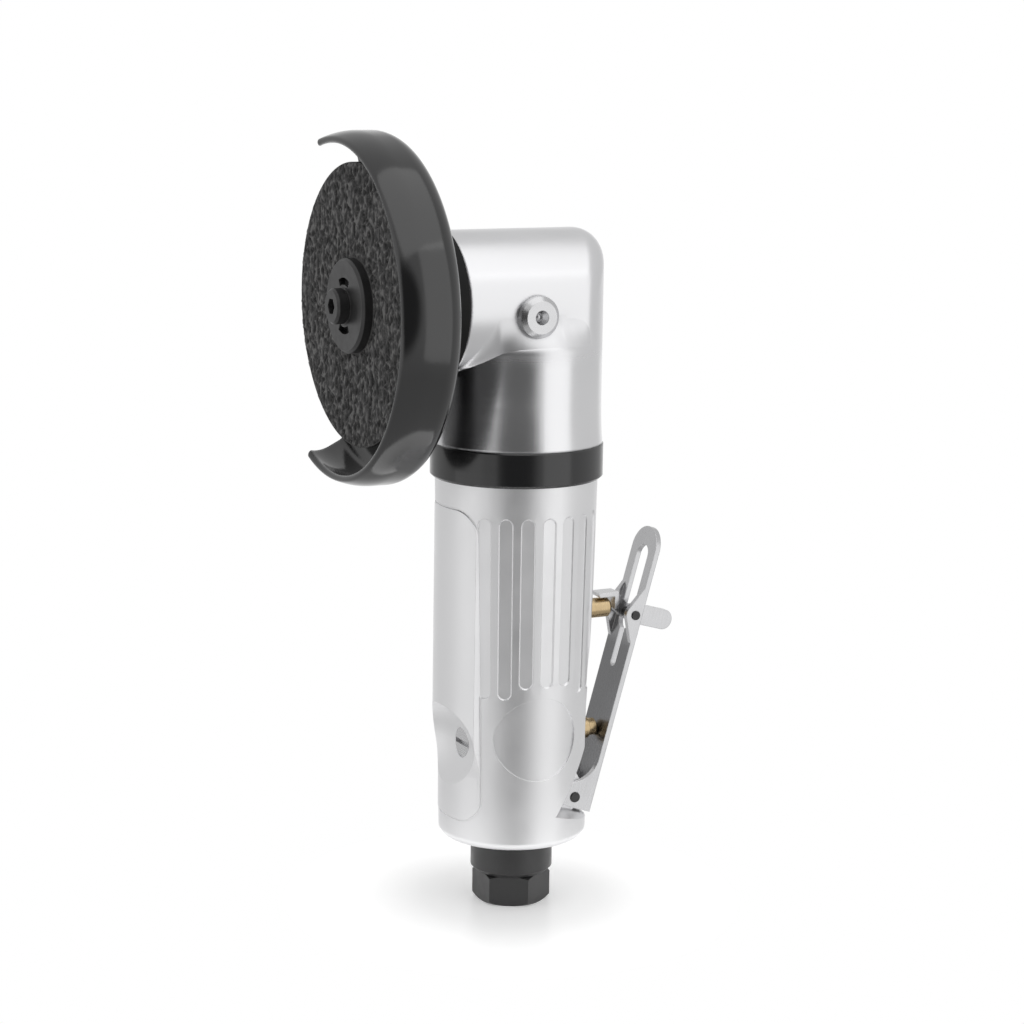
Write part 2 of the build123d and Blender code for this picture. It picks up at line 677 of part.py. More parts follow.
def rotor_vanes():
    """Sliding vanes, drawn at the bottom of their slots."""
    low = cylinder_bottom + FACE_GAP
    high = cylinder_top - FACE_GAP
    vane = Pos(-SEAT_GAP, 0, 0) * vane_box(VANE_DEPTH, VANE_THICKNESS, low, high)
    return [Rot(0, 0, 360 * (i + 0.5) / VANE_COUNT) * vane for i in range(VANE_COUNT)]


def lock_ring():
    """Threaded ring between the handle and the head."""
    inner = SPIGOT_R + SEAT_GAP
    return spun([
        (inner, handle_top), (lock_ring_r - LOCK_RING_CHAMFER, handle_top),
        (lock_ring_r, handle_top + LOCK_RING_CHAMFER), (lock_ring_r, head_bottom - LOCK_RING_CHAMFER / 2),
        (lock_ring_r - LOCK_RING_CHAMFER / 2, head_bottom), (inner, head_bottom),
    ])


def head_shell():
    """Outer form of the angle head: flared skirt, cross barrel, neck and threaded spigot."""
    flare_top = head_bottom + FLARE_HEIGHT
    shoulder = head_bottom + SHOULDER_HEIGHT
    crown = shoulder + SHOULDER_RISE
    turn = math.radians(SHOULDER_TURN)
    brow = (BODY_R - SHOULDER_R * (1 - math.cos(turn)), 0, shoulder + SHOULDER_R * math.sin(turn))
    flare = TangentArc((BODY_R, 0, flare_top), (skirt_r, 0, head_bottom), tangent=(0, 0, -1))
    rounding = TangentArc((BODY_R, 0, shoulder), brow, tangent=(0, 0, 1))
    hollow = TangentArc(brow, (SHOULDER_END_R, 0, crown), tangent=(-math.sin(turn), 0, math.cos(turn)))
    side = Line((BODY_R, 0, flare_top), (BODY_R, 0, shoulder))
    rest = Polyline((SHOULDER_END_R, 0, crown), (0, 0, crown), (0, 0, head_bottom), (skirt_r, 0, head_bottom))
    skirt = revolve(make_face([flare, side, rounding, hollow, *rest.edges()]), Axis.Z)
    end_x = BODY_R + REAR_ROUNDING
    barrel = turned([
        (BARREL_FRONT_X, 0), (BARREL_FRONT_X, BARREL_R - BARREL_EDGE),
        (BARREL_FRONT_X + BARREL_EDGE, BARREL_R), (end_x, BARREL_R), (end_x, 0),
    ], spindle_z)
    rim_x = math.sqrt(BODY_R ** 2 - BARREL_R ** 2)
    full_x = rim_x - REAR_ROUNDING / 2
    swell = [TangentArc((full_x, side_y), (CHEEK_LEAD_X, side_y * CHEEK_LEAD_Y / BARREL_R), tangent=(-1, 0))
             for side_y in (-BARREL_R, BARREL_R)]
    square = Polyline((full_x, -BARREL_R), (end_x, -BARREL_R), (end_x, BARREL_R), (full_x, BARREL_R))
    lead = Line((CHEEK_LEAD_X, -CHEEK_LEAD_Y), (CHEEK_LEAD_X, CHEEK_LEAD_Y))
    plan = make_face([*swell, lead, *square.edges()])
    cheeks = Pos(0, 0, flare_top) * extrude(plan, amount=spindle_z - flare_top)
    limit = rod_z(BODY_R, flare_top, spindle_z + 2 * BARREL_R)
    front = Pos(-BODY_R, 0, spindle_z) * Box(2 * BODY_R, 4 * BARREL_R, 4 * BARREL_R)
    upper = (barrel + cheeks) & (limit + front)
    rim = [edge for edge in upper.edges()
           if edge.center().X > rim_x / 2 and edge.center().Z > flare_top + SHOULDER_R]
    upper = fillet(rim, REAR_ROUNDING)
    neck = rod_x(NECK_R, NECK_FRONT_X, BARREL_FRONT_X + BARREL_EDGE, spindle_z)
    spigot = rod_z(SPIGOT_R, motor_top, head_bottom)
    return skirt + upper + neck + spigot


def angle_head():
    """Angle head casting with the bearing bores, gear cavity and grease port."""
    pinion_r = PINION_OUTER_R
    ring_bottom = pinion_bearing_bottom - RETAINING_RING_THICKNESS
    fitting_z = spindle_z - FITTING_DROP
    cuts = [
        rod_z(SPIGOT_BORE_R, motor_top, ring_bottom),
        rod_z(pinion_r + RETAINING_GROOVE_DEPTH, ring_bottom, pinion_bearing_bottom),
        rod_z(pinion_r + SEAT_GAP, pinion_bearing_bottom, pinion_bearing_top),
        rod_z(pinion_r - PINION_SHOULDER, pinion_bearing_top, spindle_z),
        rod_x(CAVITY_R, front_bearing_x, CAVITY_REAR_X, spindle_z),
        rod_x(SPINDLE_FRONT_OUTER_R + SEAT_GAP, NECK_FRONT_X, front_bearing_x, spindle_z),
        rod_x(SPINDLE_REAR_OUTER_R + SEAT_GAP, CAVITY_REAR_X,
              rear_bearing_x + SPINDLE_REAR_WIDTH, spindle_z),
        rod_y(FITTING_R + SEAT_GAP, -2 * BARREL_R, -fitting_seat_y, FITTING_X, fitting_z),
        rod_y(FITTING_STEM_R + SEAT_GAP, -fitting_seat_y, -fitting_stem_end_y, FITTING_X, fitting_z),
        rod_y(FITTING_PASSAGE_R, -fitting_stem_end_y, 0, FITTING_X, fitting_z),
    ]
    return head_shell() - cuts


def retaining_ring():
    """Split ring that holds the pinion bearing up."""
    outer = PINION_OUTER_R + RETAINING_GROOVE_DEPTH - SEAT_GAP
    low = pinion_bearing_bottom - RETAINING_RING_THICKNESS
    ring = tube(outer - RETAINING_RING_WIDTH, outer, low, pinion_bearing_bottom)
    gap = Pos(outer, 0, low) * Box(2 * outer, 2 * RETAINING_RING_GAP_HALF, 4 * RETAINING_RING_THICKNESS)
    return ring - gap


def bevel_sizes(teeth, mate):
    """Cone distance and pitch angle of a bevel gear on a right-angle pair."""
    distance = GEAR_MODULE / 2 * math.hypot(teeth, mate)
    return distance, math.atan2(teeth, mate)


def bevel_point(teeth, mate, scale, height):
    """Point in (radius, z) at a share of the cone distance and a height above the pitch cone."""
    distance, angle = bevel_sizes(teeth, mate)
    radius = scale * (distance * math.sin(angle) + height * math.cos(angle))
    z = scale * (-distance * math.cos(angle) + height * math.sin(angle))
    return radius, z


def space_half_width(teeth, mate, height):
    """Half width of a tooth space at a height above the pitch cone, between involute flanks."""
    count = teeth / math.cos(bevel_sizes(teeth, mate)[1])
    pitch_r = GEAR_MODULE * count / 2
    pressure = math.radians(PRESSURE_ANGLE)
    radius = pitch_r + height
    flank = math.acos(min(1, pitch_r * math.cos(pressure) / radius))
    turn = math.pi / (2 * count) - math.tan(pressure) + pressure + math.tan(flank) - flank
    return radius * turn + BACKLASH / 4


def tooth_space(teeth, mate):
    """Wedge between two teeth on the +X side, shrinking towards the cone apex at the origin."""
    distance = bevel_sizes(teeth, mate)[0]
    bottom = -DEDENDUM * GEAR_MODULE
    rise = (DEDENDUM + DEDENDUM) * GEAR_MODULE
    heights = [bottom + rise * i / FLANK_STEPS for i in range(FLANK_STEPS + 1)]
    faces = []
    for reach in (distance + TOOTH_OVERRUN, distance - TOOTH_FACE - TOOTH_OVERRUN):
        scale = reach / distance
        corners = []
        for side, levels in ((-1, heights[::-1]), (1, heights)):
            for height in levels:
                radius, z = bevel_point(teeth, mate, scale, height)
                corners.append((radius, side * scale * space_half_width(teeth, mate, height), z))
        faces.append(make_face(Polyline(*corners, close=True)))
    return loft(faces, ruled=True)


def toothed(blank, teeth, mate, turn):
    """Blank with all tooth spaces cut, the first one at the angle turn."""
    space = tooth_space(teeth, mate)
    return blank - [Rot(0, 0, turn + 360 * i / teeth) * space for i in range(teeth)]


def bevel_gear():
    """Bevel gear on the spindle, toothed towards +X."""
    pair = (GEAR_TEETH, PINION_TEETH)
    distance = bevel_sizes(*pair)[0]
    small = 1 - TOOTH_FACE / distance
    tip = ADDENDUM * GEAR_MODULE
    rim = -DEDENDUM * GEAR_MODULE - GEAR_RIM
    bore = SPINDLE_SEAT_R + SEAT_GAP
    inner = bevel_point(*pair, small, rim)
    back = bevel_point(*pair, 1, rim)
    blank = spun([
        (bore, inner[1]), inner, bevel_point(*pair, small, tip), bevel_point(*pair, 1, tip), back,
        (GEAR_HUB_R, back[1]), (GEAR_HUB_R, gear_back_x), (bore, gear_back_x),
    ])
    gear = toothed(blank, *pair, 0)
    return Pos(0, 0, spindle_z) * Rot(0, 90, 0) * gear - key_block(SEAT_GAP)


def bevel_pinion():
    """Bevel pinion with its shank and hexagon socket on the motor axis."""
    pair = (PINION_TEETH, GEAR_TEETH)
    distance = bevel_sizes(*pair)[0]
    small = 1 - TOOTH_FACE / distance
    tip = ADDENDUM * GEAR_MODULE
    rim = -DEDENDUM * GEAR_MODULE - GEAR_RIM
    inner = bevel_point(*pair, small, rim)
    back = bevel_point(*pair, 1, rim)
    hub_bottom = pinion_bearing_top + FACE_GAP - spindle_z
    shank_r = PINION_BORE_R - RUNNING_GAP
    shank_bottom = motor_top + 2 * FACE_GAP - spindle_z
    blank = spun([
        (0, inner[1]), inner, bevel_point(*pair, small, tip), bevel_point(*pair, 1, tip), back,
        (back[0], hub_bottom), (shank_r, hub_bottom), (shank_r, shank_bottom), (0, shank_bottom),
    ])
    pinion = Pos(0, 0, spindle_z) * toothed(blank, *pair, 180 / PINION_TEETH)
    socket = hex_prism(HEX_DRIVE_FLATS + 2 * SEAT_GAP, motor_top, hex_drive_end + FACE_GAP)
    return pinion - socket


def key_block(gap):
    """Block of the gear key, grown by a gap on its sides and top."""
    middle = gear_back_x + KEY_INSET + KEY_LENGTH / 2
    return Pos(middle, 0, spindle_z + SPINDLE_SEAT_R) * Box(
        KEY_LENGTH + 2 * gap, KEY_WIDTH + 2 * gap, KEY_HEIGHT + 2 * gap)


def spindle():
    """Output spindle with bearing seats, gear seat, keyway and socket."""
    seat_front = cap_rear_x
    gear_front = gear_back_x + GEAR_SEAT_LENGTH
    tail_r = SPINDLE_REAR_BORE_R - RUNNING_GAP
    tail_end = rear_bearing_x + SPINDLE_REAR_WIDTH
    front_r = SPINDLE_FRONT_BORE_R - RUNNING_GAP
    collar_x = front_bearing_x + FACE_GAP
    groove_x = nut_front_x - SPINDLE_GROOVE_WIDTH
    groove_r = SPINDLE_R - SPINDLE_GROOVE_DEPTH
    shaft = turned([
        (SPINDLE_TIP_X, 0), (SPINDLE_TIP_X, SPINDLE_R - SPINDLE_TIP_CHAMFER),
        (SPINDLE_TIP_X + SPINDLE_TIP_CHAMFER, SPINDLE_R), (groove_x, SPINDLE_R), (groove_x, groove_r),
        (nut_front_x, groove_r), (nut_front_x, SPINDLE_R), (seat_front, SPINDLE_R), (seat_front, front_r),
        (collar_x, front_r), (collar_x, SPINDLE_COLLAR_R), (gear_back_x, SPINDLE_COLLAR_R),
        (gear_back_x, SPINDLE_SEAT_R), (gear_front, SPINDLE_SEAT_R), (gear_front, SPINDLE_WAIST_R),
        (rear_bearing_x - FACE_GAP, SPINDLE_WAIST_R), (rear_bearing_x - FACE_GAP, tail_r),
        (tail_end - FACE_GAP, tail_r), (tail_end - FACE_GAP, 0),
    ], spindle_z)
    socket = Pos(SPINDLE_TIP_X, 0, spindle_z) * Rot(0, 90, 0) * hex_prism(
        SPINDLE_SOCKET_FLATS, 0, SPINDLE_SOCKET_DEPTH)
    return shaft - socket - key_block(SEAT_GAP)


def bearing_cap():
    """Threaded cap in front of the spindle bearing with two spanner holes."""
    ring = turned([
        (NECK_FRONT_X, FLANGE_HUB_R + CAP_GAP), (NECK_FRONT_X, SPINDLE_FRONT_OUTER_R),
        (cap_rear_x, SPINDLE_FRONT_OUTER_R), (cap_rear_x, FLANGE_HUB_R + CAP_GAP),
    ], spindle_z)
    holes = [rod_x(CAP_HOLE_R, NECK_FRONT_X, cap_rear_x, spindle_z + side * CAP_HOLE_CIRCLE_R)
             for side in (-1, 1)]
    return ring - holes


def inner_flange():
    """Backing flange behind the wheel, with the hub that runs through the cap."""
    bore = SPINDLE_R + SEAT_GAP
    return turned([
        (wheel_rear_x, FLANGE_RELIEF_R), (wheel_rear_x, FLANGE_R), (flange_rear_x, FLANGE_R),
        (flange_rear_x, FLANGE_HUB_R), (cap_rear_x - CAP_GAP, FLANGE_HUB_R), (cap_rear_x - CAP_GAP, bore),
        (wheel_rear_x + FLANGE_RELIEF, bore), (wheel_rear_x + FLANGE_RELIEF, FLANGE_RELIEF_R),
    ], spindle_z)


def grinding_disc():
    """Bonded abrasive wheel."""
    bore = SPINDLE_R + SEAT_GAP
    return turned([
        (WHEEL_FRONT_X, bore), (WHEEL_FRONT_X, WHEEL_R), (wheel_rear_x, WHEEL_R), (wheel_rear_x, bore),
    ], spindle_z)


def nut_slot():
    """Curved spanner slot above the spindle."""
    inner = NUT_SLOT_R - NUT_SLOT_WIDTH / 2
    outer = NUT_SLOT_R + NUT_SLOT_WIDTH / 2
    depth = nut_front_x + NUT_SLOT_DEPTH
    outside = nut_front_x - OVERCUT
    corners = [(outside, 0, inner), (outside, 0, outer), (depth, 0, outer), (depth, 0, inner)]
    outline = Polyline(*corners, close=True)
    sweep_back = Rot(-NUT_SLOT_SWEEP / 2, 0, 0)
    return Pos(0, 0, spindle_z) * sweep_back * revolve(make_face(outline), Axis.X, NUT_SLOT_SWEEP)


def clamp_nut():
    """Round nut that clamps the wheel, with two spanner slots."""
    bore = SPINDLE_R + SEAT_GAP
    nut = turned([
        (nut_front_x, bore), (nut_front_x, NUT_R - NUT_CHAMFER), (nut_front_x + NUT_CHAMFER, NUT_R),
        (WHEEL_FRONT_X, NUT_R), (WHEEL_FRONT_X, bore),
    ], spindle_z)
    slot = nut_slot()
    turn = Pos(0, 0, spindle_z) * Rot(180, 0, 0) * Pos(0, 0, -spindle_z)
    return nut - slot - turn * slot


def wheel_guard():
    """Sheet guard, open on the +Y side."""
    flat_r = GUARD_R - GUARD_SHOULDER
    bend_x = GUARD_BACK_X - GUARD_SHOULDER
    plate_x = GUARD_BACK_X - GUARD_WALL
    wall_r = GUARD_R - GUARD_WALL
    outside = TangentArc((GUARD_BACK_X, 0, flat_r), (bend_x, 0, GUARD_R), tangent=(0, 0, 1))
    inside = TangentArc((plate_x, 0, flat_r), (bend_x, 0, wall_r), tangent=(0, 0, 1))
    straight = [
        Line((GUARD_BACK_X, 0, 0), (GUARD_BACK_X, 0, flat_r)),
        Line((bend_x, 0, GUARD_R), (GUARD_FRONT_X, 0, GUARD_R)),
        Line((GUARD_FRONT_X, 0, GUARD_R), (GUARD_FRONT_X, 0, wall_r)),
        Line((GUARD_FRONT_X, 0, wall_r), (bend_x, 0, wall_r)),
        Line((plate_x, 0, flat_r), (plate_x, 0, 0)),
        Line((plate_x, 0, 0), (GUARD_BACK_X, 0, 0)),
    ]
    cup = Pos(0, 0, spindle_z - GUARD_DROP) * revolve(make_face([outside, inside, *straight]), Axis.X)
    bore = rod_x(NECK_R + GUARD_SWIVEL_GAP, plate_x, GUARD_BACK_X, spindle_z)
    front_x = GUARD_FRONT_X - OVERCUT
    back_x = GUARD_BACK_X + OVERCUT
    front_y = GUARD_OPEN_Y + GUARD_OPEN_SLOPE * (front_x - GUARD_OPEN_X)
    back_y = GUARD_OPEN_Y + GUARD_OPEN_SLOPE * (back_x - GUARD_OPEN_X)
    opening = make_face(Polyline((front_x, front_y, 0), (back_x, back_y, 0), (back_x, 2 * GUARD_R, 0),
                                 (front_x, 2 * GUARD_R, 0), close=True))
    opening = Pos(0, 0, spindle_z) * extrude(opening, amount=2 * GUARD_R, both=True)
    shell = cup - bore - opening
    corners = [edge for edge in shell.edges()
               if edge.length < 2 * GUARD_WALL and edge.center().X < GUARD_FRONT_X + SEAT_GAP]
    return fillet(corners, GUARD_CORNER_R)


def guard_collar():
    """Split clamp collar on the head's neck with two screw lugs on the +Y side."""
    inner = NECK_R + GUARD_SWIVEL_GAP
    length = collar_rear_x - GUARD_BACK_X
    middle = (collar_rear_x + GUARD_BACK_X) / 2
    ring = rod_x(COLLAR_R, GUARD_BACK_X, collar_rear_x, spindle_z)
    lug_y = COLLAR_R - LUG_ROOT
    lugs = Pos(middle, (lug_y + LUG_REACH) / 2, spindle_z) * Box(
        LUG_LENGTH, LUG_REACH - lug_y, 2 * LUG_HALF_HEIGHT)
    bore = rod_x(inner, GUARD_BACK_X, collar_rear_x, spindle_z)
    split = Pos(middle, LUG_REACH, spindle_z) * Box(length, 2 * (LUG_REACH - NECK_R + OVERCUT), COLLAR_SPLIT)
    screw = rod_z(CLAMP_SCREW_R + SEAT_GAP, spindle_z - LUG_HALF_HEIGHT, spindle_z + LUG_HALF_HEIGHT,
                  middle, clamp_screw_y())
    return ring + lugs - bore - split - screw


def clamp_screw_y():
    """Y of the clamp screw's axis in the lugs."""
    return (COLLAR_R + LUG_REACH) / 2


def guard_clamp_screw():
    """Socket screw that closes the guard collar."""
    middle = (collar_rear_x + GUARD_BACK_X) / 2
    low = spindle_z - LUG_HALF_HEIGHT
    seat = spindle_z + LUG_HALF_HEIGHT
    top = seat + CLAMP_SCREW_HEAD_HEIGHT
    shank = rod_z(CLAMP_SCREW_R, low, seat)
    head = rod_z(CLAMP_SCREW_HEAD_R, seat, top)
    socket = hex_prism(CLAMP_SCREW_SOCKET_FLATS, top - CLAMP_SCREW_SOCKET_DEPTH, top)
    return Pos(middle, clamp_screw_y(), 0) * (shank + head - socket)


def fitting_profile(points):
    """Solid turned about the grease fitting's axis, from (radius, distance from the spindle plane)."""
    outline = Polyline(*[(r, 0, d) for r, d in points], close=True)
    solid = revolve(make_face(outline), Axis.Z)
    return Pos(FITTING_X, 0, spindle_z - FITTING_DROP) * Rot(90, 0, 0) * solid


def grease_fitting():
    """Grease nipple with a conical mouth and a ball chamber."""
    throat = fitting_face_y - FITTING_MOUTH_DEPTH
    body = fitting_profile([
        (0, fitting_stem_end_y), (FITTING_STEM_R, fitting_stem_end_y), (FITTING_STEM_R, fitting_seat_y),
        (FITTING_R, fitting_seat_y), (FITTING_R, fitting_face_y - FITTING_CHAMFER),
        (FITTING_R - FITTING_CHAMFER, fitting_face_y), (0, fitting_face_y),
    ])
    inside = fitting_profile([
        (0, fitting_stem_end_y), (FITTING_PASSAGE_R, fitting_stem_end_y), (FITTING_PASSAGE_R, fitting_seat_y),
        (FITTING_CHAMBER_R, fitting_seat_y), (FITTING_CHAMBER_R, throat), (FITTING_THROAT_R, throat),
        (FITTING_MOUTH_R, fitting_face_y), (0, fitting_face_y),
    ])
    return body - inside


def grease_check_ball():
    """Check ball behind the throat of the grease fitting."""
    drop = math.sqrt(CHECK_BALL_R ** 2 - FITTING_THROAT_R ** 2) + CHECK_BALL_GAP
    y = fitting_face_y - FITTING_MOUTH_DEPTH - drop
    return Pos(FITTING_X, -y, spindle_z - FITTING_DROP) * Sphere(CHECK_BALL_R)


def throttle_bush():
    """Bush that guides the valve stem and carries the valve seat."""
    outer = VALVE_BORE_R - SEAT_GAP
    guide = STEM_R + RUNNING_GAP
    body = turned([
        (BUSH_INNER_X, BUSH_RELIEF_R), (BUSH_INNER_X, outer), (FLAT_X, outer), (FLAT_X, BUSH_NOSE_R),
        (BUSH_NOSE_X, BUSH_NOSE_R), (BUSH_NOSE_X, guide), (BUSH_GUIDE_X, guide),
        (BUSH_GUIDE_X, BUSH_RELIEF_R),
    ], VALVE_Z)
    port = rod_z(BUSH_PORT_R, VALVE_Z, VALVE_Z + VALVE_BORE_R, FEED_X)
    return body - port


def throttle_valve():
    """Valve with its head inside and its domed stem behind the lever."""
    tip = lever_face_x - STEM_LEVER_GAP
    back = valve_head_x - VALVE_HEAD_LENGTH
    valve = turned([
        (back, 0), (back, VALVE_HEAD_R), (valve_head_x, VALVE_HEAD_R), (valve_head_x, STEM_WAIST_R),
        (BUSH_GUIDE_X, STEM_WAIST_R), (BUSH_GUIDE_X, STEM_R), (tip, STEM_R), (tip, 0),
    ], VALVE_Z)
    dome = Pos(tip - STEM_DOME_R, 0, VALVE_Z) * Sphere(STEM_DOME_R)
    shaft = rod_x(VALVE_HEAD_R + OVERCUT, back, tip - STEM_DOME_R, VALVE_Z)
    return valve & (dome + shaft)


def valve_seal():
    """Flat rubber seal on the valve head."""
    inner = STEM_WAIST_R + SEAT_GAP
    end = valve_head_x + VALVE_SEAL_THICKNESS
    ring = [(valve_head_x, inner), (valve_head_x, VALVE_SEAL_R), (end, VALVE_SEAL_R), (end, inner)]
    return turned(ring, VALVE_Z)


def coil(coil_r, wire_r, pitch, turns):
    """Helical wire about Z, starting at the origin's height on the +X side."""
    path = Helix(pitch, pitch * turns, coil_r)
    section = Plane(path @ 0, z_dir=path % 0) * Circle(wire_r)
    return sweep(section, path)


def valve_spring():
    """Return spring behind the valve head."""
    start = valve_head_x - VALVE_HEAD_LENGTH - SPRING_SEAT_GAP - SPRING_WIRE_R
    wire = coil(SPRING_COIL_R, SPRING_WIRE_R, SPRING_PITCH, SPRING_TURNS)
    return Pos(start, 0, VALVE_Z) * Rot(0, -90, 0) * wire


def air_regulator():
    """Slotted plug in the thumb dish with a half sleeve that meters the air."""
    outer = REGULATOR_BORE_R - RUNNING_GAP
    seal_low = REGULATOR_SEAL_X - REGULATOR_SEAL_WIDTH / 2
    seal_high = REGULATOR_SEAL_X + REGULATOR_SEAL_WIDTH / 2
    plug = turned([
        (REGULATOR_FACE_X, 0), (REGULATOR_FACE_X, outer), (seal_low, outer), (seal_low, REGULATOR_SEAL_R),
        (seal_high, REGULATOR_SEAL_R), (seal_high, outer), (REGULATOR_INNER_X, outer), (REGULATOR_INNER_X, 0),
    ], VALVE_Z)
    end = REGULATOR_INNER_X + REGULATOR_SKIRT_LENGTH
    sleeve = turned([
        (REGULATOR_INNER_X, REGULATOR_SKIRT_BORE_R), (REGULATOR_INNER_X, REGULATOR_SKIRT_R),
        (end, REGULATOR_SKIRT_R), (end, REGULATOR_SKIRT_BORE_R),
    ], VALVE_Z)
    upper = Pos((REGULATOR_INNER_X + end) / 2, 0, VALVE_Z + REGULATOR_SKIRT_R) * Box(
        REGULATOR_SKIRT_LENGTH, 4 * REGULATOR_SKIRT_R, 2 * REGULATOR_SKIRT_R)
    slot = Pos(REGULATOR_FACE_X, 0, VALVE_Z) * Box(2 * REGULATOR_SLOT_DEPTH, 4 * outer, REGULATOR_SLOT_WIDTH)
    return plug + (sleeve & upper) - slot


def regulator_seal():
    """Rubber ring in the regulator's groove."""
    low = REGULATOR_SEAL_X - REGULATOR_SEAL_WIDTH / 2 + SEAT_GAP
    high = REGULATOR_SEAL_X + REGULATOR_SEAL_WIDTH / 2 - SEAT_GAP
    inner = REGULATOR_SEAL_R + SEAT_GAP
    outer = REGULATOR_BORE_R - RUNNING_GAP
    return turned([(low, inner), (low, outer), (high, outer), (high, inner)], VALVE_Z)


def lever_ear(side):
    """Pivot ear of the throttle lever on one side."""
    near = min(side * ear_inner_y, side * LEVER_WIDTH / 2)
    far = max(side * ear_inner_y, side * LEVER_WIDTH / 2)
    merge = (lever_inner, 0, EAR_MERGE_HEIGHT)
    waist = (-EAR_WAIST, 0, EAR_WAIST_HEIGHT)
    hollow = TangentArc(merge, waist, tangent=(0, 0, -1))
    rest = Polyline(waist, (-EAR_REACH, 0, -EAR_TOE), (LEVER_OUTER, 0, -LEVER_FOOT),
                    (LEVER_OUTER, 0, EAR_MERGE_HEIGHT), merge)
    outline = make_face([hollow, *rest.edges()])
    outline = fillet(outline.vertices().sort_by(Axis.X)[0], EAR_CORNER_R)
    return Pos(0, near, 0) * extrude(outline, amount=far - near, dir=(0, 1, 0))


def safety_ear(side):
    """Ear that carries the safety lever's pin on one side."""
    near = min(side * ear_inner_y, side * LEVER_WIDTH / 2)
    far = max(side * ear_inner_y, side * LEVER_WIDTH / 2)
    eye_in = SAFETY_IN - SAFETY_EAR_R * math.cos(math.radians(SAFETY_EAR_SLOPE))
    eye_up = SAFETY_EAR_R * math.sin(math.radians(SAFETY_EAR_SLOPE))
    skirt = plate_y([
        (LEVER_OUTER, SAFETY_ALONG - SAFETY_EAR_HALF), (LEVER_OUTER, SAFETY_ALONG + SAFETY_EAR_HALF),
        (lever_inner, SAFETY_ALONG + SAFETY_EAR_HALF), (eye_in, SAFETY_ALONG + eye_up),
        (eye_in, SAFETY_ALONG - eye_up), (lever_inner, SAFETY_ALONG - SAFETY_EAR_HALF),
    ], near, far)
    eye = rod_y(SAFETY_EAR_R, near, far, SAFETY_IN, SAFETY_ALONG)
    sheet_side = [(0, 0), (LEVER_OUTER, 0), (LEVER_OUTER, LEVER_LENGTH), (0, LEVER_LENGTH)]
    return skirt + (eye & plate_y(sheet_side, near, far))


def slot_cut(half_width, start, end):
    """Round-ended slot through the lever's sheet."""
    length = end - start
    middle = Plane((0, 0, (start + end) / 2), x_dir=(0, 0, 1), z_dir=(1, 0, 0))
    return extrude(middle * SlotOverall(length, 2 * half_width), amount=2 * LEVER_OUTER)


def throttle_lever():
    """Sheet-steel throttle lever with pivot ears, safety ears and slots."""
    half = LEVER_WIDTH / 2
    middle = (lever_inner + LEVER_OUTER) / 2
    shank_top = LEVER_LENGTH - half
    slot_end = LEVER_LENGTH - TIP_SLOT_MARGIN
    strip = Pos(middle, 0, (shank_top - LEVER_FOOT) / 2) * Box(
        LEVER_SHEET, LEVER_WIDTH, shank_top + LEVER_FOOT)
    tip = rod_x(half, lever_inner, LEVER_OUTER, shank_top)
    ears = [lever_ear(side) for side in (-1, 1)] + [safety_ear(side) for side in (-1, 1)]
    cuts = [
        slot_cut(TIP_SLOT_HALF_WIDTH, SAFETY_ALONG - TIP_SLOT_LEAD, slot_end),
        slot_cut(TAB_SLOT_HALF_WIDTH, SAFETY_ALONG - TAB_SLOT_LEAD, slot_end),
        rod_y(LEVER_PIN_R + RUNNING_GAP, -half, half),
        rod_y(SAFETY_PIN_R + SEAT_GAP, -half, half, SAFETY_IN, SAFETY_ALONG),
    ]
    return lever_place * (strip + tip + ears - cuts)


def lever_pivot_pin():
    """Pin in the handle's tongue that the throttle lever turns on."""
    half = LEVER_WIDTH / 2 + PIN_OVERHANG
    return rod_y(LEVER_PIN_R, -half, half, LEVER_PIVOT_X, LEVER_PIVOT_Z)


def safety_pin():
    """Pin in the throttle lever that the safety lever turns on."""
    half = LEVER_WIDTH / 2 + PIN_OVERHANG
    return rod_y(SAFETY_PIN_R, -half, half, safety_x, safety_z)


def safety_lever():
    """Safety lever: thumb tab outside, leg against the stop pin and a finger above it."""
    half = SAFETY_PLATE / 2
    hub = rod_y(SAFETY_HUB_R, -half, half, safety_x, safety_z)
    tab_end = TAB_LENGTH - TAB_HALF_WIDTH
    tab = plate_y([
        (0, -SAFETY_HUB_R), (TAB_HALF_WIDTH, -TAB_HALF_WIDTH), (tab_end, -TAB_HALF_WIDTH),
        (tab_end, TAB_HALF_WIDTH), (TAB_HALF_WIDTH, TAB_HALF_WIDTH), (0, SAFETY_HUB_R),
    ], -half, half)
    tab = tab + rod_y(TAB_HALF_WIDTH, -half, half, tab_end)
    tab = Pos(safety_x, 0, safety_z) * Rot(0, LEVER_TILT, 0) * tab
    leg_x = stop_pin_tip_x + LEG_GAP
    leg_low = safety_z + LEG_RISE
    finger_low = stop_pin_z + STOP_PIN_R + FINGER_LIFT
    finger_high = finger_low + LEG_SHEET
    hub_edge = SAFETY_HUB_R / math.sqrt(2)
    leg_back = leg_x + LEG_SHEET
    arm = plate_y([
        (leg_x, leg_low), (safety_x - hub_edge, safety_z - hub_edge),
        (safety_x + hub_edge, safety_z + hub_edge), (leg_back, finger_high), (leg_x, finger_high),
    ], -half, half)
    flange = plate_y([
        (leg_x, leg_low), (leg_back, leg_low), (leg_back, finger_high), (leg_x, finger_high),
    ], -LEG_HALF_WIDTH, LEG_HALF_WIDTH)
    finger = plate_y([
        (finger_tip_x, finger_low + FINGER_CHAMFER), (finger_tip_x + FINGER_CHAMFER, finger_low),
        (leg_back, finger_low), (leg_back, finger_high), (finger_tip_x, finger_high),
    ], -LEG_HALF_WIDTH, LEG_HALF_WIDTH)
    bore = rod_y(SAFETY_PIN_R + RUNNING_GAP, -half, half, safety_x, safety_z)
    return hub + tab + arm + flange + finger - bore


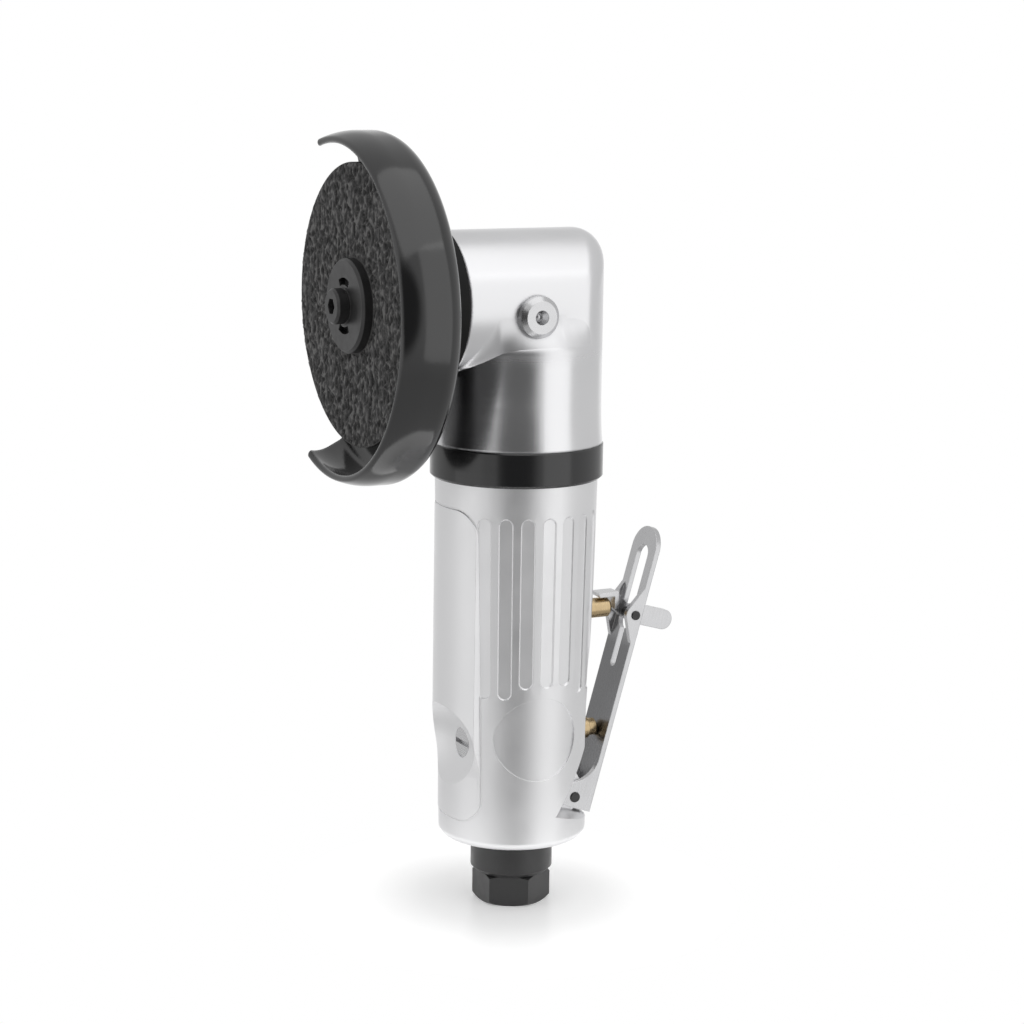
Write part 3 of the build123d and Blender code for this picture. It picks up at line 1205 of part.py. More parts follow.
def safety_spring():
    """Small torsion spring on the safety pin."""
    wire = coil(SAFETY_SPRING_COIL_R, SAFETY_SPRING_WIRE_R, SAFETY_SPRING_PITCH, SAFETY_SPRING_TURNS)
    return Pos(safety_x, SAFETY_SPRING_Y, safety_z) * Rot(-90, 0, 0) * wire


def save(name, shape):
    """Write one sub-part; a list of equal pieces becomes one file."""
    solid = Compound(children=shape) if isinstance(shape, list) else shape
    export_step(solid, f"parts/{name}.step")


os.makedirs("parts", exist_ok=True)
save("motor_housing", motor_housing())
save("lock_ring", lock_ring())
save("air_inlet", air_inlet())
save("inlet_screen", inlet_screen())
save("rear_end_plate", rear_end_plate())
save("rear_rotor_bearing", bearing_ring(rear_rotor_bearing_size, motor_floor))
save("motor_cylinder", motor_cylinder())
save("rotor", rotor())
save("rotor_vanes", rotor_vanes())
save("front_end_plate", front_end_plate())
save("front_rotor_bearing", bearing_ring(front_rotor_bearing_size, motor_top - FRONT_ROTOR_WIDTH))
save("angle_head", angle_head())
save("pinion_bearing", bearing_ring(pinion_bearing_size, pinion_bearing_bottom))
save("pinion_retaining_ring", retaining_ring())
save("bevel_pinion", bevel_pinion())
save("bevel_gear", bevel_gear())
save("gear_key", key_block(0))
save("spindle", spindle())
save("spindle_front_bearing", bearing_on_spindle(spindle_front_bearing_size, cap_rear_x))
save("spindle_rear_bearing", bearing_on_spindle(spindle_rear_bearing_size, rear_bearing_x))
save("bearing_cap", bearing_cap())
save("grease_fitting", grease_fitting())
save("grease_check_ball", grease_check_ball())
save("wheel_guard", wheel_guard())
save("guard_collar", guard_collar())
save("guard_clamp_screw", guard_clamp_screw())
save("inner_flange", inner_flange())
save("grinding_disc", grinding_disc())
save("clamp_nut", clamp_nut())
save("throttle_bush", throttle_bush())
save("throttle_valve", throttle_valve())
save("valve_seal", valve_seal())
save("valve_spring", valve_spring())
save("air_regulator", air_regulator())
save("regulator_seal", regulator_seal())
save("safety_stop_pin", stop_pin())
save("throttle_lever", throttle_lever())
save("lever_pivot_pin", lever_pivot_pin())
save("safety_lever", safety_lever())
save("safety_pin", safety_pin())
save("safety_spring", safety_spring())
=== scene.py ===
import json
import math
import bmesh
import bpy
from mathutils import Matrix, Vector, noise
from mathutils.bvhtree import BVHTree


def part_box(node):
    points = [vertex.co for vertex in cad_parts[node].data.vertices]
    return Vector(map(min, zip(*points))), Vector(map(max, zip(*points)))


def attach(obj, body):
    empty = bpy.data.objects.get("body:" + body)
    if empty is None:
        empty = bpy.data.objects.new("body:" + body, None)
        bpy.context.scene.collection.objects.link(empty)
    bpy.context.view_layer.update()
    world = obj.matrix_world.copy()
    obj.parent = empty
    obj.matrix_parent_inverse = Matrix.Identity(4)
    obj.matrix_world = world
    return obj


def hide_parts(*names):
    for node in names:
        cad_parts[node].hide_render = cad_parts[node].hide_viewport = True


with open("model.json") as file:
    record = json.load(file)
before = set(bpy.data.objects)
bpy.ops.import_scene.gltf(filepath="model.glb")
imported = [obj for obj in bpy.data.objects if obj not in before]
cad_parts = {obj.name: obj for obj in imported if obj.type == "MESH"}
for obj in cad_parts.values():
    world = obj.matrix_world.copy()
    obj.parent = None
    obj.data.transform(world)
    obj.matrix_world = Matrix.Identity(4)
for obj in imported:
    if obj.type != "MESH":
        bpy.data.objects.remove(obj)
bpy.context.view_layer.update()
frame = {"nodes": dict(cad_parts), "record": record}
nodes = frame["nodes"]
scene = bpy.context.scene
scene.view_settings.view_transform = "Standard"

# Camera at the photograph's viewing angle

AZIMUTH = math.radians(-26.771)
ELEVATION = math.radians(10.713)
ROLL = math.radians(0.75)
DISTANCE = 0.69003
TARGET_HEIGHT = 0.110765
TARGET_SHIFT = -0.001011
SENSOR_WIDTH = 36
FOCAL_LENGTH = 87.89

front = Vector((math.sin(AZIMUTH), -math.cos(AZIMUTH), 0))
right = Vector((math.cos(AZIMUTH), math.sin(AZIMUTH), 0))
back = front * math.cos(ELEVATION) + Vector((0, 0, math.sin(ELEVATION)))
up = back.cross(right)


def add_camera():
    """Camera with its picture plane square to the view and a slight roll."""
    data = bpy.data.cameras.new("camera")
    data.sensor_width = SENSOR_WIDTH
    data.lens = FOCAL_LENGTH
    camera = bpy.data.objects.new("camera", data)
    scene.collection.objects.link(camera)
    side = right * math.cos(ROLL) + up * math.sin(ROLL)
    top = up * math.cos(ROLL) - right * math.sin(ROLL)
    place = Matrix((side, top, back)).transposed().to_4x4()
    place.translation = Vector((0, 0, TARGET_HEIGHT)) + right * TARGET_SHIFT + back * DISTANCE
    camera.matrix_world = place
    scene.camera = camera


add_camera()


# Shader building blocks

def node(tree, kind, args=(), **settings):
    """New node. args fill its inputs by order or by name: sockets are linked, values are set."""
    made = tree.nodes.new(kind)
    for key, value in settings.items():
        setattr(made, key, value)
    for key, value in args.items() if isinstance(args, dict) else enumerate(args):
        if isinstance(value, bpy.types.NodeSocket):
            tree.links.new(value, made.inputs[key])
        else:
            made.inputs[key].default_value = value
    return made


def new_material(name, metallic=0.0, ior=1.5):
    """Material with a Principled shader."""
    material = bpy.data.materials.new(name)
    material.use_nodes = True
    shader = material.node_tree.nodes["Principled BSDF"]
    shader.inputs["Metallic"].default_value = metallic
    shader.inputs["IOR"].default_value = ior
    return material, material.node_tree, shader


def position(tree, scale=(1, 1, 1), turn=0.0):
    """Place on the object in millimetres, turned about Y and stretched."""
    place = node(tree, "ShaderNodeTexCoord").outputs["Object"]
    if turn:
        place = node(tree, "ShaderNodeVectorRotate", {"Vector": place, "Angle": turn},
                     rotation_type="Y_AXIS").outputs[0]
    factor = [1000 * s for s in scale]
    return node(tree, "ShaderNodeVectorMath", (place, factor), operation="MULTIPLY").outputs[0]


def grain(tree, place, size, detail=3.0):
    """Noise with features of about size."""
    return node(tree, "ShaderNodeTexNoise", {
        "Vector": place, "Scale": 1 / size, "Detail": detail}).outputs[0]


def remap(tree, value, low, high, to_low, to_high):
    """Straight change of range with clamped ends."""
    return node(tree, "ShaderNodeMapRange", (value, low, high, to_low, to_high)).outputs[0]


def total(tree, first, second, operation="ADD"):
    """Sum of two values, or another operation on them."""
    return node(tree, "ShaderNodeMath", (first, second), operation=operation).outputs[0]


def blend(tree, share, first, second):
    """Colour between two colours."""
    made = node(tree, "ShaderNodeMix", data_type="RGBA")
    for index, value in ((0, share), (6, first), (7, second)):
        if isinstance(value, bpy.types.NodeSocket):
            tree.links.new(value, made.inputs[index])
        else:
            made.inputs[index].default_value = (*value, 1) if index else value
    return made.outputs[2]


def rounded(tree, radius):
    """Normal that rounds the edges by a radius in millimetres."""
    return node(tree, "ShaderNodeBevel", {"Radius": radius / 1000}, samples=4).outputs[0]


def worn_edges(tree, normal, full=0.9):
    """Share of edge wear, from 0 on a face to 1 on an edge."""
    flat = node(tree, "ShaderNodeNewGeometry").outputs["Normal"]
    agree = node(tree, "ShaderNodeVectorMath", (normal, flat), operation="DOT_PRODUCT").outputs["Value"]
    return remap(tree, agree, 0.995, full, 0.0, 1.0)


def relief(tree, height, depth, strength=1.0, normal=None):
    """Normal from a height, with a depth in millimetres."""
    args = {"Height": height, "Distance": depth / 1000, "Strength": strength}
    if normal:
        args["Normal"] = normal
    return node(tree, "ShaderNodeBump", args).outputs[0]


def wire(tree, shader, color=None, roughness=None, normal=None):
    """Connect what varies over the surface to the shader."""
    for key, socket in (("Base Color", color), ("Roughness", roughness), ("Normal", normal)):
        if socket is not None:
            tree.links.new(socket, shader.inputs[key])


# Materials

def satin_aluminium():
    """Handle casting: satin, with a fine tumbled grain and polished edges."""
    material, tree, shader = new_material("satin_aluminium", 1.0)
    place = position(tree)
    normal = rounded(tree, 0.16)
    edge = worn_edges(tree, normal)
    cloud = grain(tree, place, 8.0)
    fine = grain(tree, place, 0.3, 2.0)
    stroke = grain(tree, position(tree, (1, 1, 0.05)), 0.5, 2.0)
    shade = blend(tree, cloud, (0.93, 0.93, 0.94), (0.96, 0.96, 0.968))
    color = blend(tree, edge, shade, (0.98, 0.98, 0.982))
    rough = remap(tree, cloud, 0.3, 0.7, 0.38, 0.45)
    rough = total(tree, rough, remap(tree, stroke, 0.3, 0.7, -0.015, 0.015))
    rough = total(tree, rough, total(tree, edge, 0.08, "MULTIPLY"), "SUBTRACT")
    height = total(tree, fine, stroke)
    wire(tree, shader, color, rough, relief(tree, height, 0.003, 0.4, normal))
    return material


def polished_aluminium(name, rounding, dull):
    """Angle head: polished, with fine level lines on the skirt."""
    material, tree, shader = new_material(name, 1.0)
    place = position(tree)
    normal = rounded(tree, rounding) if rounding else None
    cloud = grain(tree, place, 12.0)
    lines = grain(tree, position(tree, (0.04, 0.04, 5.0)), 1.0, 3.0)
    height = node(tree, "ShaderNodeSeparateXYZ", (place,)).outputs["Z"]
    skirt = remap(tree, height, 152.0, 162.0, 1.0, 0.25)
    drawn = total(tree, lines, skirt, "MULTIPLY")
    color = blend(tree, cloud, (0.84, 0.84, 0.855), (0.9, 0.9, 0.91))
    rough = remap(tree, cloud, 0.3, 0.7, 0.17, 0.22)
    rough = total(tree, rough, remap(tree, drawn, 0.2, 0.8, 0.0, 0.06))
    rough = total(tree, rough, remap(tree, height, 153.0, 158.0, 0.0, dull))
    fine = total(tree, drawn, total(tree, grain(tree, place, 0.8), 0.4, "MULTIPLY"))
    wire(tree, shader, color, rough, relief(tree, fine, 0.003, 0.3, normal))
    return material


def black_enamel():
    """Guard and collar: satin black enamel with a slight orange peel."""
    material, tree, shader = new_material("black_enamel", 0.0, 1.8)
    place = position(tree)
    normal = rounded(tree, 0.9)
    edge = worn_edges(tree, normal, 0.8)
    cloud = grain(tree, place, 6.0)
    peel = grain(tree, place, 0.9, 2.0)
    shade = blend(tree, cloud, (0.003, 0.003, 0.0035), (0.006, 0.006, 0.0065))
    color = blend(tree, edge, shade, (0.03, 0.03, 0.032))
    rough = remap(tree, cloud, 0.3, 0.7, 0.1, 0.14)
    wire(tree, shader, color, rough, relief(tree, peel, 0.012, 0.4, normal))
    return material


def gloss_black():
    """Lock ring: turned and glossy black."""
    material, tree, shader = new_material("gloss_black", 0.0, 1.7)
    place = position(tree)
    normal = rounded(tree, 0.3)
    edge = worn_edges(tree, normal)
    lines = grain(tree, position(tree, (0.05, 0.05, 4.0)), 1.0, 2.0)
    cloud = grain(tree, place, 7.0)
    shade = blend(tree, cloud, (0.008, 0.008, 0.009), (0.014, 0.014, 0.015))
    color = blend(tree, edge, shade, (0.05, 0.05, 0.052))
    rough = remap(tree, lines, 0.3, 0.7, 0.13, 0.2)
    wire(tree, shader, color, rough, relief(tree, lines, 0.003, 0.5, normal))
    return material


def dull_black():
    """Guard collar: dull black strap."""
    material, tree, shader = new_material("dull_black", 0.0, 1.3)
    place = position(tree)
    normal = rounded(tree, 0.3)
    edge = worn_edges(tree, normal)
    cloud = grain(tree, place, 3.0)
    fine = grain(tree, place, 0.4, 2.0)
    shade = blend(tree, cloud, (0.004, 0.004, 0.004), (0.008, 0.008, 0.008))
    color = blend(tree, edge, shade, (0.025, 0.025, 0.026))
    rough = remap(tree, cloud, 0.3, 0.7, 0.4, 0.52)
    wire(tree, shader, color, rough, relief(tree, fine, 0.01, 0.5, normal))
    return material


def black_oxide():
    """Inlet, nut, spindle and pins: black oxide steel with rubbed edges."""
    material, tree, shader = new_material("black_oxide", 0.0, 1.6)
    place = position(tree)
    normal = rounded(tree, 0.25)
    edge = worn_edges(tree, normal)
    cloud = grain(tree, place, 3.0)
    fine = grain(tree, place, 0.25, 2.0)
    shade = blend(tree, cloud, (0.02, 0.02, 0.021), (0.034, 0.033, 0.033))
    color = blend(tree, edge, shade, (0.1, 0.1, 0.1))
    rough = remap(tree, cloud, 0.3, 0.7, 0.32, 0.46)
    wire(tree, shader, color, rough, relief(tree, fine, 0.008, 0.5, normal))
    return material


LEVER_TILT = math.radians(15.93)
INNER_SHADE_FULL_TO_Z = 70.0
INNER_SHADE_GONE_FROM_Z = 82.0


def brushed_steel():
    """Lever: polished sheet, brushed along its length, with painted shade darkening its inner side between
    the ears.
    """
    material, tree, shader = new_material("brushed_steel", 1.0)
    place = position(tree)
    # Painted shade: faces turned inwards to the handle, low on the lever, are darkened to stand in for the
    # shade and dark reflections there
    inward = (-math.cos(LEVER_TILT), 0, math.sin(LEVER_TILT))
    facing = node(tree, "ShaderNodeTexCoord").outputs["Normal"]
    agree = node(tree, "ShaderNodeVectorMath", (facing, inward), operation="DOT_PRODUCT").outputs["Value"]
    height = node(tree, "ShaderNodeSeparateXYZ", (place,)).outputs["Z"]
    inner = remap(tree, agree, 0.9, 0.97, 0.0, 1.0)
    below = remap(tree, height, INNER_SHADE_FULL_TO_Z, INNER_SHADE_GONE_FROM_Z, 1.0, 0.0)
    painted_inner_shade = total(tree, inner, below, "MULTIPLY")
    normal = rounded(tree, 0.3)
    edge = worn_edges(tree, normal)
    strokes = grain(tree, position(tree, (5, 5, 0.12), -LEVER_TILT), 1.0, 3.0)
    cloud = grain(tree, place, 5.0)
    shade = blend(tree, cloud, (0.62, 0.62, 0.63), (0.7, 0.7, 0.71))
    # Painted shade: the inner face below the given heights takes a dark colour in place of the shade that
    # falls there
    shade = blend(tree, painted_inner_shade, shade, (0.24, 0.24, 0.245))
    color = blend(tree, edge, shade, (0.85, 0.85, 0.86))
    rough = remap(tree, strokes, 0.25, 0.75, 0.24, 0.32)
    wire(tree, shader, color, rough, relief(tree, strokes, 0.002, 0.15, normal))
    return material


def ground_steel():
    """Grease fitting, regulator and inner steel pieces."""
    material, tree, shader = new_material("ground_steel", 1.0)
    place = position(tree)
    normal = rounded(tree, 0.2)
    edge = worn_edges(tree, normal)
    cloud = grain(tree, place, 4.0)
    scratch = grain(tree, position(tree, (4, 0.3, 4)), 1.0, 3.0)
    shade = blend(tree, cloud, (0.66, 0.66, 0.67), (0.74, 0.74, 0.75))
    color = blend(tree, edge, shade, (0.82, 0.82, 0.83))
    rough = remap(tree, scratch, 0.3, 0.7, 0.22, 0.3)
    wire(tree, shader, color, rough, relief(tree, scratch, 0.003, 0.2, normal))
    return material


def turned_brass():
    """Stop pin, bush and valve stem."""
    material, tree, shader = new_material("turned_brass", 1.0)
    normal = rounded(tree, 0.2)
    edge = worn_edges(tree, normal)
    rings = grain(tree, position(tree, (6, 0.1, 0.1)), 1.0, 2.0)
    cloud = grain(tree, position(tree), 2.0)
    shade = blend(tree, cloud, (0.56, 0.42, 0.24), (0.68, 0.52, 0.31))
    color = blend(tree, edge, shade, (0.82, 0.68, 0.45))
    rough = remap(tree, rings, 0.3, 0.7, 0.2, 0.34)
    wire(tree, shader, color, rough, relief(tree, rings, 0.008, 0.6, normal))
    return material


def bonded_grit():
    """Wheel: dark resin-bonded grit, with painted shade in its crevices and painted highlights on its
    ridges.
    """
    material, tree, shader = new_material("bonded_grit", 0.0, 1.45)
    place = position(tree)
    crest = node(tree, "ShaderNodeAttribute", attribute_name="crest").outputs["Fac"]
    cells = node(tree, "ShaderNodeTexVoronoi", {"Vector": place, "Scale": 2.6})
    spark = node(tree, "ShaderNodeSeparateColor", (cells.outputs["Color"],)).outputs[0]
    fleck = remap(tree, spark, 0.86, 1.0, 0.0, 1.0)
    cloud = grain(tree, place, 4.0)
    shade = blend(tree, cloud, (0.08, 0.079, 0.079), (0.106, 0.104, 0.104))
    # Painted shade: where the crest is low, in the pits, the colour goes near black
    shade = blend(tree, crest, (0.008, 0.008, 0.008), shade)
    # Painted highlight: the tops of the ridges, where the crest is near 1, take a lighter colour
    shade = blend(tree, remap(tree, crest, 0.85, 1.0, 0.0, 1.0), shade, (0.16, 0.157, 0.155))
    color = blend(tree, total(tree, fleck, 0.5, "MULTIPLY"), shade, (0.16, 0.155, 0.15))
    rough = remap(tree, spark, 0.0, 1.0, 0.62, 0.9)
    coarse = total(tree, cells.outputs["Distance"], grain(tree, place, 0.5))
    wire(tree, shader, color, rough, relief(tree, coarse, 0.06, 0.7))
    return material


def phenolic():
    """Vanes: brown laminate with cloth layers."""
    material, tree, shader = new_material("phenolic", 0.0)
    layers = grain(tree, position(tree, (3, 3, 0.2)), 1.0, 2.0)
    color = blend(tree, layers, (0.22, 0.12, 0.05), (0.4, 0.26, 0.13))
    rough = remap(tree, layers, 0.3, 0.7, 0.4, 0.55)
    wire(tree, shader, color, rough, relief(tree, layers, 0.01))
    return material


def moulded_rubber():
    """Seals."""
    material, tree, shader = new_material("moulded_rubber", 0.0)
    cloud = grain(tree, position(tree), 1.2)
    color = blend(tree, cloud, (0.014, 0.014, 0.014), (0.028, 0.028, 0.028))
    rough = remap(tree, cloud, 0.3, 0.7, 0.5, 0.66)
    wire(tree, shader, color, rough, relief(tree, cloud, 0.02, 0.5))
    return material


finishes = {
    "handle_aluminium": satin_aluminium(),
    "head_aluminium": polished_aluminium("polished_aluminium", 0.8, 0.12),
    "black_metal": black_enamel(),
    "black_steel": black_oxide(),
    "steel": ground_steel(),
    "lever_steel": brushed_steel(),
    "brass": turned_brass(),
    "abrasive": bonded_grit(),
    "vane": phenolic(),
    "rubber": moulded_rubber(),
}
for entry in frame["record"]["subparts"]:
    nodes[entry["node"]].material_slots[0].material = finishes[entry["material_slot"]]
nodes["lock_ring"].material_slots[0].material = gloss_black()
nodes["guard_collar"].material_slots[0].material = dull_black()


# Pieces made here

def closed_piece(name, points, faces, material, body, smooth_to=40):
    """Object from a closed mesh in millimetres that rides on a body."""
    mesh = bpy.data.meshes.new(name)
    mesh.from_pydata([[c / 1000 for c in p] for p in points], [], faces)
    shell = bmesh.new()
    shell.from_mesh(mesh)
    bmesh.ops.remove_doubles(shell, verts=shell.verts, dist=0.000001)
    bmesh.ops.recalc_face_normals(shell, faces=shell.faces)
    shell.to_mesh(mesh)
    shell.free()
    mesh.shade_smooth()
    mesh.set_sharp_from_angle(angle=math.radians(smooth_to))
    mesh.materials.append(material)
    piece = bpy.data.objects.new(name, mesh)
    scene.collection.objects.link(piece)
    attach(piece, body)
    return piece


# Wheel with its rough pressed face

WHEEL_AXIS_Z = 169.6
FACE_BORE = 4.77
FACE_CLAMPED = 12.8
FACE_EDGE = 37.1
FACE_RINGS = 96
FACE_SECTORS = 720
CREVICE = 0.6
PLAIN_CREST = 0.8
FRONT_CHAMFER = 0.3
REAR_CHAMFER = 0.2


def face_crest(y, z):
    """Share of the full face height, from 0 in a pit to 1 on a ridge."""
    bend_y = 0.6 * noise.noise(Vector((y / 2.6, z / 2.6, 3.1)))
    bend_z = 0.6 * noise.noise(Vector((y / 2.6, z / 2.6, 14.6)))
    spans = noise.voronoi(Vector((y / 1.9 + bend_y, z / 2.6 + bend_z, 1.7)))[0]
    ridge = max(0.0, 1 - (spans[1] - spans[0]) / 0.42)
    broad = noise.noise(Vector((y / 1.2, z / 1.8, 5.2)))
    fine = noise.noise(Vector((y / 0.5, z / 0.6, 8.4)))
    share = min(1.0, max(0.0, 0.24 + 0.62 * ridge + 0.5 * broad + 0.24 * fine))
    return share * share * (3 - 2 * share)


def grinding_wheel():
    """Wheel whose front face carries long ridges and crevices."""
    box_low, box_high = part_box("grinding_disc")
    face_x, rear_x = box_low.x * 1000, box_high.x * 1000
    radius = (box_high.y - box_low.y) * 500
    rows = [(FACE_BORE, face_x, False), (FACE_CLAMPED, face_x, False)]
    step = (FACE_EDGE - FACE_CLAMPED) / FACE_RINGS
    rows += [(FACE_CLAMPED + step * (i + 1), face_x, True) for i in range(FACE_RINGS)]
    rows += [(radius, face_x + FRONT_CHAMFER, False), (radius, rear_x - REAR_CHAMFER, False),
             (radius - REAR_CHAMFER, rear_x, False), (FACE_BORE, rear_x, False)]
    points, crests, faces = [], [], []
    for r, x, rough in rows:
        for k in range(FACE_SECTORS):
            angle = math.tau * k / FACE_SECTORS
            y, z = r * math.cos(angle), r * math.sin(angle)
            crest = face_crest(y, z) if rough else PLAIN_CREST
            depth = CREVICE * (1 - crest) if rough else 0.0
            points.append((x + depth, y, WHEEL_AXIS_Z + z))
            crests.append(crest)
    count = len(rows)
    for i in range(count):
        here, there = i * FACE_SECTORS, (i + 1) % count * FACE_SECTORS
        for k in range(FACE_SECTORS):
            m = (k + 1) % FACE_SECTORS
            faces.append((here + k, here + m, there + m, there + k))
    wheel = closed_piece("grinding_wheel", points, faces, finishes["abrasive"], "spindle_body")
    wheel.data.attributes.new("crest", "FLOAT", "POINT").data.foreach_set("value", crests)
    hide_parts("grinding_disc")


grinding_wheel()


# Guard with its rim drawn in

GUARD_AXIS_Z = 168.6
GUARD_BACK_X = -37.3
GUARD_BORE_R = 17.55
GUARD_FLAT_R = 40.9
GUARD_SHOULDER = 5.8
GUARD_WALL = 1.8
GUARD_DRAW_X = -47.0
GUARD_DRAW_R = 17.8
GUARD_DRAW_TURN = 24.0
GUARD_OPEN_Y = 13.25
GUARD_OPEN_SLOPE = 0.55
GUARD_OPEN_LEAN = 0.084
GUARD_OPEN_X = -55.0
GUARD_STEPS = 180
ARC_STEPS = 12
RIM_STEPS = 8


def guard_section():
    """Outer points of the guard's section from bore to rim, each with its outward direction."""
    lean = math.hypot(1, GUARD_OPEN_LEAN)
    first_cut = (GUARD_OPEN_Y + GUARD_OPEN_SLOPE * (GUARD_BACK_X - GUARD_OPEN_X)) / lean
    flats = [GUARD_BORE_R, first_cut, first_cut + 0.4, first_cut + 1.5, first_cut + 4, 32, 37]
    rows = [(GUARD_BACK_X, r, 1, 0) for r in flats]
    bend_x = GUARD_BACK_X - GUARD_SHOULDER
    for i in range(ARC_STEPS + 1):
        turn = math.radians(90 * i / ARC_STEPS)
        away, out = math.cos(turn), math.sin(turn)
        rows.append((bend_x + GUARD_SHOULDER * away, GUARD_FLAT_R + GUARD_SHOULDER * out, away, out))
    centre_r = GUARD_FLAT_R + GUARD_SHOULDER - GUARD_DRAW_R
    for i in range(ARC_STEPS + 1):
        turn = math.radians(GUARD_DRAW_TURN * i / ARC_STEPS)
        away, out = -math.sin(turn), math.cos(turn)
        rows.append((GUARD_DRAW_X + GUARD_DRAW_R * away, centre_r + GUARD_DRAW_R * out, away, out))
    return rows


def drawn_guard():
    """Sheet guard whose rim curves inwards, cut open on the far side."""
    outer = guard_section()
    inner = [(x - GUARD_WALL * a, r - GUARD_WALL * o, a, o) for x, r, a, o in outer]
    inner[0] = (GUARD_BACK_X - GUARD_WALL, GUARD_BORE_R, 1, 0)
    x, r, away, out = outer[-1]
    half = GUARD_WALL / 2
    rim = []
    for i in range(1, RIM_STEPS):
        turn = math.radians(180 * i / RIM_STEPS)
        a = away * math.cos(turn) - out * math.sin(turn)
        o = out * math.cos(turn) + away * math.sin(turn)
        rim.append((x - half * away + half * a, r - half * out + half * o, a, o))
    rows = outer + rim + inner[::-1]
    count = GUARD_STEPS + 1
    lean = math.hypot(1, GUARD_OPEN_LEAN)
    skew = math.atan(GUARD_OPEN_LEAN)
    points, whole = [], []
    for index, (x, r, _, _) in enumerate(rows):
        at_bore = index in (0, len(rows) - 1)
        share = (GUARD_OPEN_Y + GUARD_OPEN_SLOPE * (x - GUARD_OPEN_X)) / (r * lean)
        whole.append(share >= 0.999999)
        reach = math.acos(-min(1.0, share))
        centre_z = WHEEL_AXIS_Z if at_bore else GUARD_AXIS_Z
        for k in range(count):
            angle = reach * (2 * k / GUARD_STEPS - 1) - skew
            points.append((x, -r * math.cos(angle), centre_z + r * math.sin(angle)))
    faces = []
    size = len(rows)
    for i in range(size):
        j = (i + 1) % size
        for k in range(GUARD_STEPS):
            faces.append((i * count + k, i * count + k + 1, j * count + k + 1, j * count + k))
    last = len(outer) - 1
    for k in (0, GUARD_STEPS):
        for i in range(last):
            pair = (i, i + 1, size - 2 - i, size - 1 - i)
            if not all(whole[p] for p in pair):
                faces.append([p * count + k for p in pair])
        faces.append([p * count + k for p in range(last, size - last)])
    guard = closed_piece("drawn_guard", points, faces, finishes["black_metal"], "guard_body")
    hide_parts("wheel_guard")


drawn_guard()


# Filled hollow between the skirt's crest and the barrel's wall

BARREL_R = 19.25
SKIRT_R = 23.0
SKIRT_TOP_Z = 156.9
SKIRT_ROUNDING = 4.0
WALL_Z = 167.5
ARCH = ((-68, 152.3), (-60, 153.2), (-50, 154.8), (-37, 157.2), (-25, 158.4), (-9, 158.6), (40, 158.6))
ARCH_START, ARCH_END = ARCH[0][0], ARCH[-1][0]
CHEEK_FROM = 8
CHEEK_LEAN = 0.05
RAY_START = 0.06
SADDLE_SAMPLES = 16
SADDLE_SUNK = 0.03
SADDLE_BURIED = 2.5
SADDLE_PULL = 0.36


def arch_height(degrees):
    """Height of the arch line around the skirt."""
    for (a, low), (b, high) in zip(ARCH, ARCH[1:]):
        if degrees <= b:
            return low + (high - low) * (degrees - a) / (b - a)


def wall_point(head, degrees):
    """Upper end of the filling on the barrel or cheek, with the lean of the wall there."""
    angle = math.radians(degrees)
    if degrees > CHEEK_FROM:
        out = Vector((math.sin(angle), -math.cos(angle), 0))
        hit = head.ray_cast(out * RAY_START + Vector((0, 0, WALL_Z / 1000)), -out)[0]
        return Vector((hit.xy.length * 1000, WALL_Z)), CHEEK_LEAN
    across = min(BARREL_R, SKIRT_R * math.cos(angle))
    corner = WHEEL_AXIS_Z - math.sqrt(BARREL_R ** 2 - across ** 2)
    z = min(WALL_Z, corner + 0.3 + 0.005 * (degrees - ARCH_START) ** 2)
    y = math.sqrt(BARREL_R ** 2 - (WHEEL_AXIS_Z - z) ** 2)
    return Vector((y / math.cos(angle), z)), math.atan2(WHEEL_AXIS_Z - z, y * math.cos(angle))


def shoulder_blend(name, side):
    """Smooth saddle under the barrel on one side, its back buried in the head."""
    steps, samples = ARCH_END - ARCH_START, SADDLE_SAMPLES
    sunk, buried = Vector((SADDLE_SUNK, 0)), Vector((SADDLE_BURIED, 0))
    head = BVHTree.FromObject(nodes["angle_head"], bpy.context.evaluated_depsgraph_get())
    points, faces = [], []
    for i in range(steps + 1):
        degrees = i + ARCH_START
        angle = math.radians(degrees)
        z = arch_height(degrees)
        turn = math.asin(max(0.0, z - SKIRT_TOP_Z) / SKIRT_ROUNDING)
        low = Vector((SKIRT_R - SKIRT_ROUNDING * (1 - math.cos(turn)), z)) - sunk
        high, lean = wall_point(head, degrees)
        high -= sunk
        pull = SADDLE_PULL * (high - low).length
        low_pull = low + SADDLE_PULL * (high - low)
        high_pull = high - pull * Vector((math.sin(lean), math.cos(lean)))
        line = []
        for s in range(samples + 1):
            t = s / samples
            line.append(low * (1 - t) ** 3 + low_pull * 3 * t * (1 - t) ** 2
                        + high_pull * 3 * t * t * (1 - t) + high * t ** 3)
        line += [high - buried, low - buried]
        points += [(p.x * math.sin(angle), side * p.x * math.cos(angle), p.y) for p in line]
    count = samples + 3
    for i in range(steps):
        for s in range(count):
            m = (s + 1) % count
            faces.append((i * count + s, (i + 1) * count + s, (i + 1) * count + m, i * count + m))
    faces.append(list(range(count)))
    faces.append(list(range(steps * count, (steps + 1) * count)))
    closed_piece(name, points, faces, saddle_finish, "tool_body", 50)


saddle_finish = polished_aluminium("polished_saddle", 0, 0.2)
shoulder_blend("near_shoulder", -1)
shoulder_blend("far_shoulder", 1)


# Studio: pale floor, soft panels and a darker place where the camera stands

FLOOR_RADIUS = 0.064


